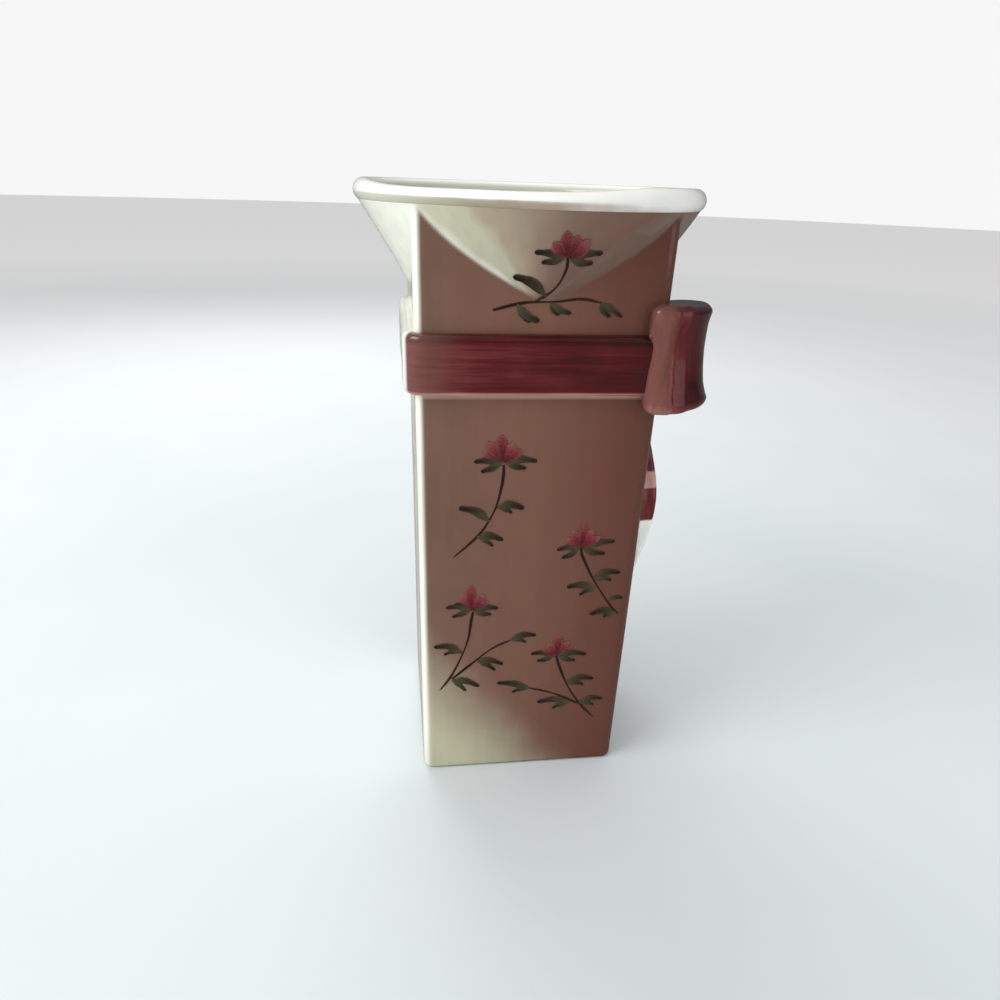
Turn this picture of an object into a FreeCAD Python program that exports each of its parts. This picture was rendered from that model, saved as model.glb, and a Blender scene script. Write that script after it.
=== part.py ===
import FreeCAD, Part
import math
import os
import Sketcher

# A square earthenware vase that spreads into a round mouth, with a modelled ribbon tied round it.
# The vase stands on the plane of zero height, centred on the upright axis. The painted front looks
# to -Y, the bow is on the +X face, and the -X face goes against a wall.

# Driving sizes, in millimetres
SIZES = {
    # square vessel, measured over the outside of its faces
    "foot_width": 91.0,
    "mouth_width": 100.0,
    "seat_height": 251.5,
    "corner_radius": 4.5,
    "wall": 4.8,
    "inner_corner_radius": 6.0,
    "base_thickness": 6.0,
    "foot_edge_radius": 4.0,
    # round mouth: the flare leaves the flat faces below the seat of the lip, above the collar's joint
    "flare_rise": 33.5,
    "collar_margin": 6.0,
    "flare_radius": 70.0,
    "flare_tip_radius": 1.0,
    "flare_tip_depth": 1.5,
    "flare_wall": 5.4,
    # rolled lip on top of the flare
    "lip_radius": 4.5,
    "lip_rise": 3.5,
    # ribbon round the vessel, its bottom edge measured down from the seat of the lip
    "band_drop": 68.5,
    "band_width": 23.5,
    "band_thickness": 4.5,
    "band_edge_radius": 2.5,
    # hole that goes over a hook in the wall
    "hanging_hole_radius": 4.5,
    # bow: each loop is a waisted puff round an upright axis on the face
    "bow_lift": 3.05,
    "loop_height": 41.0,
    "loop_lower_radius": 24.8,
    "loop_upper_radius": 22.2,
    "loop_waist_depth": 2.4,
    "loop_spacing": 34.6,
    "loop_overlap": 8.0,
    "loop_neck_height": 24.0,
    "loop_edge_radius": 3.2,
    "knot_width": 22.0,
    "knot_height": 30.0,
    "knot_reach": 17.0,
    "knot_corner_radius": 8.0,
    "knot_edge_radius": 6.0,
    # two hanging ends of the ribbon
    "tail_length": 98.0,
    "tail_sweep": 25.0,
    "tail_width": 19.0,
    "tail_neck_width": 14.0,
    "tail_rise": 7.8,
    "tail_edge_radius": 1.8,
    # how far a cutting form runs past what it cuts
    "overrun": 1.0,
}

# Ribbon end, from the knot down: share of its length, share of its sideways sweep
TAIL_PATH_SHARES = [(0.0, 0.0), (0.15, 0.06), (0.3, 0.3), (0.46, 0.62), (0.62, 0.94), (0.78, 1.0), (1.0, 0.92)]
# Ribbon end: share of its length, share of its greatest rise off the wall
TAIL_WAVE_SHARES = [(0.0, 0.85), (0.14, 0.8), (0.28, 0.6), (0.42, 0.76), (0.6, 1.0), (0.78, 0.84), (1.0, 0.15)]

doc = FreeCAD.newDocument("wall_vase")
sheet = doc.addObject("Spreadsheet::Sheet", "Sizes")
for row, (alias, size) in enumerate(SIZES.items(), start=1):
    sheet.set(f"A{row}", alias)
    sheet.set(f"B{row}", str(size))
    sheet.setAlias(f"B{row}", alias)
doc.recompute()


def value(expression):
    """The number that an expression of the sheet's sizes gives."""
    result = sheet.evalExpression(expression)
    return float(getattr(result, "Value", result))


FLARE_HEIGHT = "(Sizes.seat_height - Sizes.flare_rise)"
JOINT_HEIGHT = f"({FLARE_HEIGHT} - Sizes.collar_margin)"
LIP_CIRCLE_RADIUS = "(Sizes.flare_radius - Sizes.flare_wall / 2)"
BAND_BOTTOM = "(Sizes.seat_height - Sizes.band_drop)"
BAND_TOP = f"({BAND_BOTTOM} + Sizes.band_width)"
BAND_MIDDLE = f"({BAND_BOTTOM} + Sizes.band_width / 2)"
BOW_MIDDLE = f"({BAND_MIDDLE} + Sizes.bow_lift)"


def half_width(height):
    """Half the width of the square vessel at a height, as an expression."""
    spread = "(Sizes.mouth_width - Sizes.foot_width)"
    return f"(Sizes.foot_width + {spread} * ({height}) / Sizes.seat_height) / 2"


BOW_FACE = half_width(BOW_MIDDLE)
LOOP_WAIST_RADIUS = "(Sizes.loop_upper_radius - Sizes.loop_waist_depth)"


def new_body(label):
    body = doc.addObject("PartDesign::Body", label)
    body.Label = label
    return body


def origin_plane(body, role):
    return [part for part in body.Origin.OriginFeatures if part.Role == role][0]


def new_sketch(body, name, role, offset="0"):
    """A sketch on one of the body's own origin planes, moved along the plane's normal."""
    sketch = body.newObject("Sketcher::SketchObject", name)
    sketch.AttachmentSupport = [(origin_plane(body, role), "")]
    sketch.MapMode = "FlatFace"
    sketch.setExpression("AttachmentOffset.Base.z", offset)
    return sketch


def bind(sketch, kind, places, expression):
    """A dimension of a sketch, driven by an expression."""
    number = sketch.addConstraint(Sketcher.Constraint(kind, *places, value(expression)))
    sketch.setExpression(f"Constraints[{number}]", expression)


def rounded_rectangle(body, name, role, half_x, half_y, radius, offset="0", centre_y="0"):
    """A rectangle with rounded corners, centred on the plane's first axis and at a place along its second."""
    sketch = new_sketch(body, name, role, offset)
    x, y, r, c = value(half_x), value(half_y), value(radius), value(centre_y)
    corners = [(x, y), (-x, y), (-x, -y), (x, -y)]
    ways = [(-1, 0), (0, -1), (1, 0), (0, 1)]
    quarter = math.pi / 2
    for number, (px, py) in enumerate(corners):
        qx, qy = corners[(number + 1) % 4]
        dx, dy = ways[number]
        start = FreeCAD.Vector(px + dx * r, c + py + dy * r)
        end = FreeCAD.Vector(qx - dx * r, c + qy - dy * r)
        sketch.addGeometry(Part.LineSegment(start, end))
    for number, (px, py) in enumerate(corners):
        centre = FreeCAD.Vector(px - r * (1 if px > 0 else -1), c + py - r * (1 if py > 0 else -1))
        circle = Part.Circle(centre, FreeCAD.Vector(0, 0, 1), r)
        sketch.addGeometry(Part.ArcOfCircle(circle, number * quarter, (number + 1) * quarter))
    for number in range(4):
        arc = 4 + number
        before = (number - 1) % 4
        sketch.addConstraint(Sketcher.Constraint("Tangent", before, 2, arc, 1))
        sketch.addConstraint(Sketcher.Constraint("Tangent", arc, 2, number, 1))
    for number, kind in enumerate(("Horizontal", "Vertical", "Horizontal", "Vertical")):
        sketch.addConstraint(Sketcher.Constraint(kind, number))
    for arc in (5, 6, 7):
        sketch.addConstraint(Sketcher.Constraint("Equal", 4, arc))
    bind(sketch, "Radius", (4,), radius)
    bind(sketch, "DistanceX", (1, 1, -1, 1), half_x)
    bind(sketch, "DistanceX", (-1, 1, 3, 1), half_x)
    bind(sketch, "DistanceY", (2, 1, 0, 1), f"2 * ({half_y})")
    bind(sketch, "DistanceY", (-1, 1, 0, 1), f"({half_y}) + ({centre_y})")
    return sketch


def tapered_square(body, name, low, high, margin="0", radius="Sizes.corner_radius", take_away=False):
    """The vessel's tapering square between two heights, grown outwards by a margin, with round corners."""
    kind = "PartDesign::SubtractiveWedge" if take_away else "PartDesign::AdditiveWedge"
    wedge = body.newObject(kind, name)
    wedge.AttachmentSupport = [(origin_plane(body, "XZ_Plane"), "")]
    wedge.MapMode = "FlatFace"
    for axis in ("X", "Z"):
        for level, place in (("", low), ("2", high)):
            half = f"({half_width(place)} + ({margin}))"
            wedge.setExpression(f"{axis}{level}min", f"-{half}")
            wedge.setExpression(f"{axis}{level}max", half)
    wedge.setExpression("Ymin", low)
    wedge.setExpression("Ymax", high)
    doc.recompute()
    return round_edges(body, name + "_corners", wedge, upright_edges(wedge, margin), radius)


def quarter_disc(centre, radius, height):
    """A level quarter of a disc, cut like a slice of pie, that opens towards +X."""
    middle = FreeCAD.Vector(centre, 0, height)
    rim = [middle + FreeCAD.Vector(math.cos(turn), math.sin(turn), 0) * radius
           for turn in (-math.pi / 4, 0, math.pi / 4)]
    sides = [Part.LineSegment(middle, rim[0]), Part.Arc(*rim), Part.LineSegment(rim[2], middle)]
    return Part.Wire([side.toShape() for side in sides])


def flare_lobes(wall="0", rim_wall="0", past="0"):
    """The flare over the four flat faces: each a leaning cone, from a tip low on its face to the round rim."""
    tip = value("Sizes.flare_tip_radius")
    centre = value(f"{half_width(FLARE_HEIGHT)} - {wall} - Sizes.flare_tip_depth")
    spread = value(f"Sizes.flare_radius - {rim_wall} - Sizes.flare_tip_radius")
    run_on = value(f"{past} / Sizes.flare_rise")
    start = quarter_disc(centre, tip, value(FLARE_HEIGHT))
    end = quarter_disc(-centre * run_on, tip + spread * (1 + run_on), value(f"Sizes.seat_height + {past}"))
    lobe = Part.makeLoft([start, end], True, True)
    upright = FreeCAD.Vector(0, 0, 1)
    return [lobe.rotated(FreeCAD.Vector(0, 0, 0), upright, turn) for turn in (0, 90, 180, 270)]


def with_flare(name, square, *insets):
    """A square form of the vessel, widened by the flare."""
    doc.recompute()
    form = doc.addObject("Part::Feature", name)
    form.Shape = square.Shape.fuse(flare_lobes(*insets))
    return form


def upright_edges(feature, margin):
    """Names of the four corner edges of the vessel's square, grown by a margin."""
    near = value("Sizes.wall") / 4
    names = []
    for number, edge in enumerate(feature.Shape.Edges, start=1):
        first, last = edge.Vertexes[0].Point, edge.Vertexes[-1].Point
        middle = (first + last) / 2
        corner = value(f"{half_width(repr(middle.z))} + ({margin})")
        on_corner = max(abs(abs(middle.x) - corner), abs(abs(middle.y) - corner)) < near
        if on_corner and abs(first.z - last.z) > near:
            names.append(f"Edge{number}")
    return names


def level_edges(feature, height):
    """Names of the edges of a feature that lie in the level plane at a height."""
    near = FreeCAD.Base.Precision.confusion()
    names = []
    for number, edge in enumerate(feature.Shape.Edges, start=1):
        box = edge.BoundBox
        if abs(box.ZMin - height) < near and abs(box.ZMax - height) < near:
            names.append(f"Edge{number}")
    return names


def round_edges(body, name, feature, edges, radius):
    fillet = body.newObject("PartDesign::Fillet", name)
    fillet.Base = (feature, edges)
    fillet.setExpression("Radius", radius)
    return fillet


def pierce_back(body, name):
    """The hanging hole, level through the -X side at the middle of the ribbon."""
    sketch = new_sketch(body, name + "_outline", "YZ_Plane")
    start = FreeCAD.Vector(0, value(BAND_MIDDLE))
    sketch.addGeometry(Part.Circle(start, FreeCAD.Vector(0, 0, 1), value("Sizes.hanging_hole_radius")))
    sketch.addConstraint(Sketcher.Constraint("PointOnObject", 0, 3, -2))
    bind(sketch, "DistanceY", (-1, 1, 0, 3), BAND_MIDDLE)
    bind(sketch, "Radius", (0,), "Sizes.hanging_hole_radius")
    pocket = body.newObject("PartDesign::Pocket", name)
    pocket.Profile = sketch
    pocket.Type = "ThroughAll"
    doc.recompute()
    if pocket.Shape.Solids[0].CenterOfMass.x < 0:
        pocket.Reversed = not pocket.Reversed
    return pocket


def make_base_slab():
    """The floor slab that the four walls stand on, with its bottom edge rounded off."""
    body = new_body("base_slab")
    slab = tapered_square(body, "slab", "0", "Sizes.base_thickness")
    doc.recompute()
    round_edges(body, "foot_edge", slab, level_edges(slab, 0), "Sizes.foot_edge_radius")
    return body


def make_body_wall():
    """The square tube of the vessel, from the floor slab up to the collar."""
    body = new_body("body_wall")
    tapered_square(body, "outside", "Sizes.base_thickness", JOINT_HEIGHT)
    low = "Sizes.base_thickness - Sizes.overrun"
    high = f"{JOINT_HEIGHT} + Sizes.overrun"
    tapered_square(body, "inside", low, high, "-Sizes.wall", "Sizes.inner_corner_radius", True)
    pierce_back(body, "hanging_hole")
    return body


def make_flared_collar():
    """The collar, whose flat faces spread into a round rim along a V on each face."""
    low, high = JOINT_HEIGHT, "Sizes.seat_height"
    outside = new_body("collar_outside")
    tapered_square(outside, "square_outside", low, high)
    low, high = f"{low} - Sizes.overrun", f"{high} + Sizes.overrun"
    inside = new_body("collar_inside")
    tapered_square(inside, "square_inside", low, high, "-Sizes.wall", "Sizes.inner_corner_radius")
    well = with_flare("collar_well", inside, "Sizes.wall", "Sizes.flare_wall", "Sizes.overrun")
    return luted("flared_collar", with_flare("collar_form", outside), [well])


def make_rolled_lip():
    """The rolled bead of the mouth, a circle cut flat where it sits on the collar."""
    body = new_body("rolled_lip")
    sketch = new_sketch(body, "bead_section", "XZ_Plane")
    radius, rise = value("Sizes.lip_radius"), value("Sizes.lip_rise")
    x, z = value(LIP_CIRCLE_RADIUS), value("Sizes.seat_height + Sizes.lip_rise")
    half_chord = math.sqrt(radius * radius - rise * rise)
    left, right = FreeCAD.Vector(x - half_chord, z - rise), FreeCAD.Vector(x + half_chord, z - rise)
    sketch.addGeometry(Part.Arc(right, FreeCAD.Vector(x, z + radius), left))
    sketch.addGeometry(Part.LineSegment(left, right))
    sketch.addConstraint(Sketcher.Constraint("Coincident", 0, 2, 1, 1))
    sketch.addConstraint(Sketcher.Constraint("Coincident", 1, 2, 0, 1))
    sketch.addConstraint(Sketcher.Constraint("Horizontal", 1))
    bind(sketch, "Radius", (0,), "Sizes.lip_radius")
    bind(sketch, "DistanceX", (-1, 1, 0, 3), LIP_CIRCLE_RADIUS)
    bind(sketch, "DistanceY", (-1, 1, 1, 1), "Sizes.seat_height")
    bind(sketch, "DistanceY", (1, 1, 0, 3), "Sizes.lip_rise")
    ring = body.newObject("PartDesign::Revolution", "bead")
    ring.Profile = sketch
    ring.ReferenceAxis = (sketch, ["V_Axis"])
    return body


def make_band_form():
    """The ribbon's outer form, rounded over along both edges, with the hanging hole in its back."""
    body = new_body("band_form")
    band = tapered_square(body, "band", BAND_BOTTOM, BAND_TOP, "Sizes.band_thickness",
                          "Sizes.corner_radius + Sizes.band_thickness")
    doc.recompute()
    edges = level_edges(band, value(BAND_BOTTOM)) + level_edges(band, value(BAND_TOP))
    round_edges(body, "band_edges", band, edges, "Sizes.band_edge_radius")
    pierce_back(body, "hanging_hole")
    return body


def make_vessel_form():
    """The vessel's outside without its ribbon, which shapes the back of all that is luted on it."""
    body = new_body("vessel_square")
    tapered_square(body, "square_form", "0", "Sizes.seat_height")
    return with_flare("vessel_form", body)


def make_knot_form():
    """The knot as a soft-edged block that stands out from the +X face."""
    body = new_body("knot_form")
    half_x, half_y = "Sizes.knot_width / 2", "Sizes.knot_height / 2"
    start = f"{BOW_FACE} - Sizes.wall / 2"
    outline = rounded_rectangle(body, "knot_outline", "YZ_Plane", half_x, half_y,
                                "Sizes.knot_corner_radius", start, BOW_MIDDLE)
    pad = body.newObject("PartDesign::Pad", "knot_block")
    pad.Profile = outline
    pad.setExpression("Length", "Sizes.knot_reach + Sizes.wall / 2")
    doc.recompute()
    front = value(f"{BOW_FACE} + Sizes.knot_reach")
    near = FreeCAD.Base.Precision.confusion()
    edges = [f"Edge{n}" for n, edge in enumerate(pad.Shape.Edges, start=1)
             if abs(edge.BoundBox.XMin - front) < near]
    round_edges(body, "knot_edges", pad, edges, "Sizes.knot_edge_radius")
    return body


def waisted_section(body):
    """Half of a loop's upright section: a cotton reel with a hollow side."""
    sketch = new_sketch(body, "loop_section", "XZ_Plane")
    low, high = value(f"{BOW_MIDDLE} - Sizes.loop_height / 2"), value(f"{BOW_MIDDLE} + Sizes.loop_height / 2")
    lower, upper = value("Sizes.loop_lower_radius"), value("Sizes.loop_upper_radius")
    waist = value(LOOP_WAIST_RADIUS)
    corners = [FreeCAD.Vector(0, high), FreeCAD.Vector(0, low), FreeCAD.Vector(lower, low)]
    corners.append(FreeCAD.Vector(upper, high))
    sketch.addGeometry(Part.LineSegment(corners[0], corners[1]))
    sketch.addGeometry(Part.LineSegment(corners[1], corners[2]))
    middle = FreeCAD.Vector(waist, (low + high) / 2)
    sketch.addGeometry(Part.Arc(corners[2], middle, corners[3]))
    sketch.addGeometry(Part.LineSegment(corners[3], corners[0]))
    sketch.addGeometry(Part.Point(middle), True)
    for first, first_end, second, second_end in ((0, 2, 1, 1), (1, 2, 2, 2), (2, 1, 3, 1), (3, 2, 0, 1)):
        sketch.addConstraint(Sketcher.Constraint("Coincident", first, first_end, second, second_end))
    sketch.addConstraint(Sketcher.Constraint("PointOnObject", 0, 1, -2))
    sketch.addConstraint(Sketcher.Constraint("Vertical", 0))
    sketch.addConstraint(Sketcher.Constraint("Horizontal", 1))
    sketch.addConstraint(Sketcher.Constraint("Horizontal", 3))
    sketch.addConstraint(Sketcher.Constraint("PointOnObject", 4, 1, 2))
    bind(sketch, "DistanceY", (-1, 1, 0, 2), f"{BOW_MIDDLE} - Sizes.loop_height / 2")
    bind(sketch, "DistanceY", (0, 2, 0, 1), "Sizes.loop_height")
    bind(sketch, "DistanceX", (0, 2, 1, 2), "Sizes.loop_lower_radius")
    bind(sketch, "DistanceX", (0, 1, 3, 1), "Sizes.loop_upper_radius")
    bind(sketch, "DistanceX", (0, 2, 4, 1), LOOP_WAIST_RADIUS)
    bind(sketch, "DistanceY", (0, 2, 4, 1), "Sizes.loop_height / 2")
    return sketch


def slope_to_knot(body, name, way):
    """Takes the top or the bottom of a loop down towards the knot. The way is 1 for the top, -1 for the bottom."""
    sketch = new_sketch(body, name + "_outline", "YZ_Plane")
    edge = f"{BOW_MIDDLE} + {way} * Sizes.loop_height / 2"
    neck = f"{BOW_MIDDLE} + {way} * Sizes.loop_neck_height / 2"
    knot_place, edge_place, neck_place = -value("Sizes.loop_spacing"), value(edge), value(neck)
    corners = [(0, edge_place), (knot_place, neck_place), (knot_place, edge_place)]
    for number, start in enumerate(corners):
        end = corners[(number + 1) % 3]
        sketch.addGeometry(Part.LineSegment(FreeCAD.Vector(*start), FreeCAD.Vector(*end)))
    for number in range(3):
        sketch.addConstraint(Sketcher.Constraint("Coincident", number, 2, (number + 1) % 3, 1))
    sketch.addConstraint(Sketcher.Constraint("PointOnObject", 0, 1, -2))
    sketch.addConstraint(Sketcher.Constraint("Vertical", 1))
    sketch.addConstraint(Sketcher.Constraint("Horizontal", 2))
    bind(sketch, "DistanceY", (-1, 1, 0, 1), edge)
    bind(sketch, "DistanceY", (-1, 1, 1, 1), neck)
    bind(sketch, "DistanceX", (1, 1, -1, 1), "Sizes.loop_spacing")
    pocket = body.newObject("PartDesign::Pocket", name)
    pocket.Profile = sketch
    pocket.Type = "ThroughAll"
    pocket.Midplane = True
    return pocket


def trim_overlap(body):
    """Takes off the part of a loop that would reach past its overlap of the neighbouring side."""
    sketch = new_sketch(body, "overlap_outline", "XZ_Plane")
    low, high = f"{BOW_MIDDLE} - Sizes.loop_height", f"{BOW_MIDDLE} + Sizes.loop_height"
    near, far = "Sizes.loop_overlap", "2 * Sizes.loop_lower_radius"
    corners = [(near, low), (far, low), (far, high), (near, high)]
    points = [FreeCAD.Vector(-value(across), value(up)) for across, up in corners]
    for number, point in enumerate(points):
        sketch.addGeometry(Part.LineSegment(point, points[(number + 1) % 4]))
    for number, kind in enumerate(("Horizontal", "Vertical", "Horizontal", "Vertical")):
        sketch.addConstraint(Sketcher.Constraint("Coincident", number, 2, (number + 1) % 4, 1))
        sketch.addConstraint(Sketcher.Constraint(kind, number))
    bind(sketch, "DistanceX", (0, 1, -1, 1), near)
    bind(sketch, "DistanceX", (1, 1, -1, 1), far)
    bind(sketch, "DistanceY", (-1, 1, 0, 1), low)
    bind(sketch, "DistanceY", (-1, 1, 3, 1), high)
    pocket = body.newObject("PartDesign::Pocket", "overlap_trim")
    pocket.Profile = sketch
    pocket.Type = "ThroughAll"
    pocket.Midplane = True
    return pocket


def gathered_neck(body):
    """The cone in which a loop is gathered into the knot, lying along the face."""
    cone = body.newObject("PartDesign::AdditiveCone", "neck")
    cone.AttachmentSupport = [(origin_plane(body, "XZ_Plane"), "")]
    cone.MapMode = "FlatFace"
    cone.setExpression("AttachmentOffset.Base.y", BOW_MIDDLE)
    cone.setExpression("Radius1", LOOP_WAIST_RADIUS)
    cone.setExpression("Radius2", "Sizes.loop_neck_height / 2")
    cone.setExpression("Height", "Sizes.loop_spacing")


def make_loop_form():
    """The far loop of the bow, a cotton reel on the +Y side of the knot."""
    body = new_body("loop_form")
    puff = body.newObject("PartDesign::Revolution", "puff")
    sketch = waisted_section(body)
    puff.Profile = sketch
    puff.ReferenceAxis = (sketch, ["V_Axis"])
    slope_to_knot(body, "upper_slope", 1)
    slope_to_knot(body, "lower_slope", -1)
    trimmed = trim_overlap(body)
    doc.recompute()
    near = FreeCAD.Base.Precision.confusion()
    trim_place = -value("Sizes.loop_overlap")
    rims = []
    for number, edge in enumerate(trimmed.Shape.Edges, start=1):
        on_trim = edge.BoundBox.XMax < trim_place + near
        faces_knot = edge.CenterOfMass.y < 0
        if edge.BoundBox.YLength > near and not (on_trim and faces_knot):
            rims.append(f"Edge{number}")
    round_edges(body, "loop_edges", trimmed, rims, "Sizes.loop_edge_radius")
    gathered_neck(body)
    body.setExpression("Placement.Base.x", BOW_FACE)
    body.setExpression("Placement.Base.y", "Sizes.loop_spacing")
    return body


def curve_through(points):
    curve = Part.BSplineCurve()
    curve.interpolate([FreeCAD.Vector(*point) for point in points])
    return curve.toShape()


def closed_face(edges):
    return Part.Face(Part.Wire(Part.__sortEdges__(edges)))


def make_tail_form():
    """The far hanging ribbon end: its outline on the wall, met by the wave of its outer surface."""
    top = value(BOW_MIDDLE)
    length, sweep = value("Sizes.tail_length"), value("Sizes.tail_sweep")
    neck, broad = value("Sizes.tail_neck_width"), value("Sizes.tail_width")
    left, right = [], []
    for down, across in TAIL_PATH_SHARES:
        half = (neck + (broad - neck) * math.sqrt(down)) / 2
        middle = neck / 2 + sweep * across
        left.append((0, middle - half, top - length * down))
        right.append((0, middle + half, top - length * down))
    edges = [curve_through(left), curve_through(right)]
    for number in (0, -1):
        edges.append(Part.LineSegment(FreeCAD.Vector(*left[number]), FreeCAD.Vector(*right[number])).toShape())
    reach = value(f"{half_width(BAND_TOP)} + Sizes.band_thickness + Sizes.tail_rise")
    strip = closed_face(edges).extrude(FreeCAD.Vector(reach, 0, 0))
    wave = []
    for down, rise in TAIL_WAVE_SHARES:
        height = top - length * down
        wave.append((value(half_width(repr(height))) + value("Sizes.tail_rise") * rise, 0, height))
    edges = [curve_through(wave)]
    corners = [wave[0], (0, 0, wave[0][2]), (0, 0, wave[-1][2]), wave[-1]]
    for start, end in zip(corners, corners[1:]):
        edges.append(Part.LineSegment(FreeCAD.Vector(*start), FreeCAD.Vector(*end)).toShape())
    span = value("Sizes.foot_width")
    relief = closed_face(edges).extrude(FreeCAD.Vector(0, span, 0))
    block = strip.common(relief).Solids[0]
    inside = value("Sizes.wall")
    outer = [edge for edge in block.Edges if edge.BoundBox.XMin > inside]
    form = doc.addObject("Part::Feature", "tail_form")
    form.Shape = block.makeFillet(value("Sizes.tail_edge_radius"), outer)
    return form


def mirrored(form):
    """The same form on the near side of the bow."""
    twin = doc.addObject("Part::Mirroring", f"near_{form.Name}")
    twin.Source = form
    twin.Base = FreeCAD.Vector(0, 0, 0)
    twin.Normal = FreeCAD.Vector(0, 1, 0)
    return twin


def luted(label, form, carriers):
    """A piece whose back is shaped by the pieces that carry it."""
    for number, carrier in enumerate(carriers):
        cut = doc.addObject("Part::Cut", f"{label}_on_{number}")
        cut.Base = form
        cut.Tool = carrier
        form = cut
    form.Label = label
    return form


def make_pieces():
    vessel_form, band_form, knot_form = make_vessel_form(), make_band_form(), make_knot_form()
    pieces = [make_base_slab(), make_body_wall(), make_flared_collar(), make_rolled_lip()]
    pieces.append(luted("ribbon_band", band_form, [vessel_form]))
    pieces.append(luted("bow_knot", knot_form, [vessel_form, band_form]))
    far_loop, far_tail = make_loop_form(), make_tail_form()
    for name, loop, tail in (("far", far_loop, far_tail), ("near", mirrored(far_loop), mirrored(far_tail))):
        pieces.append(luted("bow_loop_" + name, loop, [vessel_form, band_form, knot_form]))
        pieces.append(luted("ribbon_tail_" + name, tail, [vessel_form, band_form, loop, knot_form]))
    return pieces


def check(pieces):
    """Stops at any failed feature, and at any piece that isn't one whole solid."""
    for feature in doc.Objects:
        if "Invalid" in feature.State or "Error" in feature.State:
            raise RuntimeError(f"{feature.Label} failed: {feature.State}")
    for piece in pieces:
        shape = piece.Shape
        if shape.isNull() or not shape.isValid() or len(shape.Solids) != 1:
            raise RuntimeError(f"{piece.Label} isn't one valid solid")


pieces = make_pieces()
doc.recompute()
check(pieces)
os.makedirs("parts", exist_ok=True)
for piece in pieces:
    piece.Shape.exportStep(f"parts/{piece.Label}.step")
    print(piece.Label, round(piece.Shape.Volume), "mm3")
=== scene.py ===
import bisect
import bmesh
import bpy
import math
from mathutils import Matrix, Vector, noise


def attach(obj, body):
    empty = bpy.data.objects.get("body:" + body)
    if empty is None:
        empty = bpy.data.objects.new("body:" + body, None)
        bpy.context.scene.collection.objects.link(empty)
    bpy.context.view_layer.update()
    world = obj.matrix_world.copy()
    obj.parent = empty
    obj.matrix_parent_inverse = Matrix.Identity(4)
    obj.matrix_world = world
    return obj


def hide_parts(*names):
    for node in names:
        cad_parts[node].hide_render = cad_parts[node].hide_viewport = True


MM = 0.001

# Sizes of the vessel in metres, the same as in its construction
FOOT_WIDTH = 91 * MM
MOUTH_WIDTH = 100 * MM
SEAT_HEIGHT = 251.5 * MM
CORNER_RADIUS = 4.5 * MM
WALL = 4.8 * MM
INNER_CORNER_RADIUS = 6 * MM
BASE_THICKNESS = 6 * MM
FOOT_EDGE_RADIUS = 2.2 * MM  # the clay's is 4 mm, and the glaze that runs down fills it
FLARE_RISE = 33.5 * MM
FLARE_RADIUS = 70 * MM
FLARE_WALL = 5.4 * MM
FLARE_TIP_RADIUS = 1 * MM
FLARE_TIP_DEPTH = 1.5 * MM
LIP_RADIUS = 4.5 * MM
LIP_HEIGHT = 255 * MM
BAND_LOW = 183 * MM
BAND_HIGH = 206.5 * MM
BAND_THICKNESS = 4.5 * MM
BAND_EDGE_RADIUS = 2.5 * MM
HOLE_RADIUS = 4.5 * MM
HOLE_HEIGHT = 194.75 * MM
BORE_LENGTH = 40 * MM
BOW_MIDDLE = 197.8 * MM
BOW_FACE = 49.04 * MM
TAIL_LENGTH = 98 * MM
TAIL_SWEEP = 25 * MM
TAIL_NECK = 14 * MM
TAIL_WIDTH = 19 * MM
TAIL_PATH_SHARES = [(0.0, 0.0), (0.15, 0.06), (0.3, 0.3), (0.46, 0.62), (0.62, 0.94), (0.78, 1.0),
                    (1.0, 0.92)]

LOOP_NODES = ("bow_loop_near", "bow_loop_far")
TAIL_NODES = ("ribbon_tail_near", "ribbon_tail_far")

# How the soft clay of the bow was pressed on, and how its lap lies round the corner
SEAM_START = 46 * MM  # how far out from the vessel's middle its clay can touch the wall or the ribbon
PRESSED_IN = 1.5 * MM
SKIN_GAP = 0.15 * MM  # clay that lies nearer than this touches
LAP_END = 50 * MM
LAP_LIFT = 0.9 * MM
LAP_SWELL = 0.7 * MM
LAP_SWELL_START = (51 * MM, 53 * MM)  # across
LAP_SWELL_FADE = (54 * MM, 60 * MM)  # towards the bow
LAP_CLEAR = 3.5 * MM  # how far off the wall the lap's outline lies
LAP_REACH = 2 * MM
LAP_REACH_FADE = (47 * MM, 54 * MM)  # towards the bow
LAP_REACH_HEIGHTS = (186 * MM, 205 * MM, 207 * MM, 213 * MM)

# Folds: over a loop their angle round the knot, width and share of the depth, and on the knot their place
LOOP_FOLDS = ((-0.62, 0.08, 0.7), (-0.28, 0.06, 1.0), (0.04, 0.07, 0.8), (0.33, 0.06, 1.0),
              (0.66, 0.08, 0.6))
FOLD_DEPTH = 1.5 * MM
FOLD_FADE = (0.6 * MM, 3 * MM)  # how far from the wall a fold starts and is whole
CROWN_MOST = 1.6 * MM
KNOT_GATHERS = (-5.6 * MM, -0.6 * MM, 4.4 * MM)
GATHER_DEPTH = 1.0 * MM
GATHER_WIDTH = 1.1 * MM

# The ribbon's ends: the notch where their colour stops, the painted highlight above it, and their channel
NOTCH_HEIGHT = 133 * MM
NOTCH_DEPTH = 8 * MM
NOTCH_BLUR = 0.4 * MM
HIGHLIGHT_HEIGHTS = (138.5 * MM, 139.5 * MM, 145 * MM, 146 * MM)
CHANNEL_DEPTH = 0.5 * MM

# How fine the bow's skin is
LOOP_VOXEL = 0.6 * MM
BOW_VOXEL = 0.5 * MM
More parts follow.
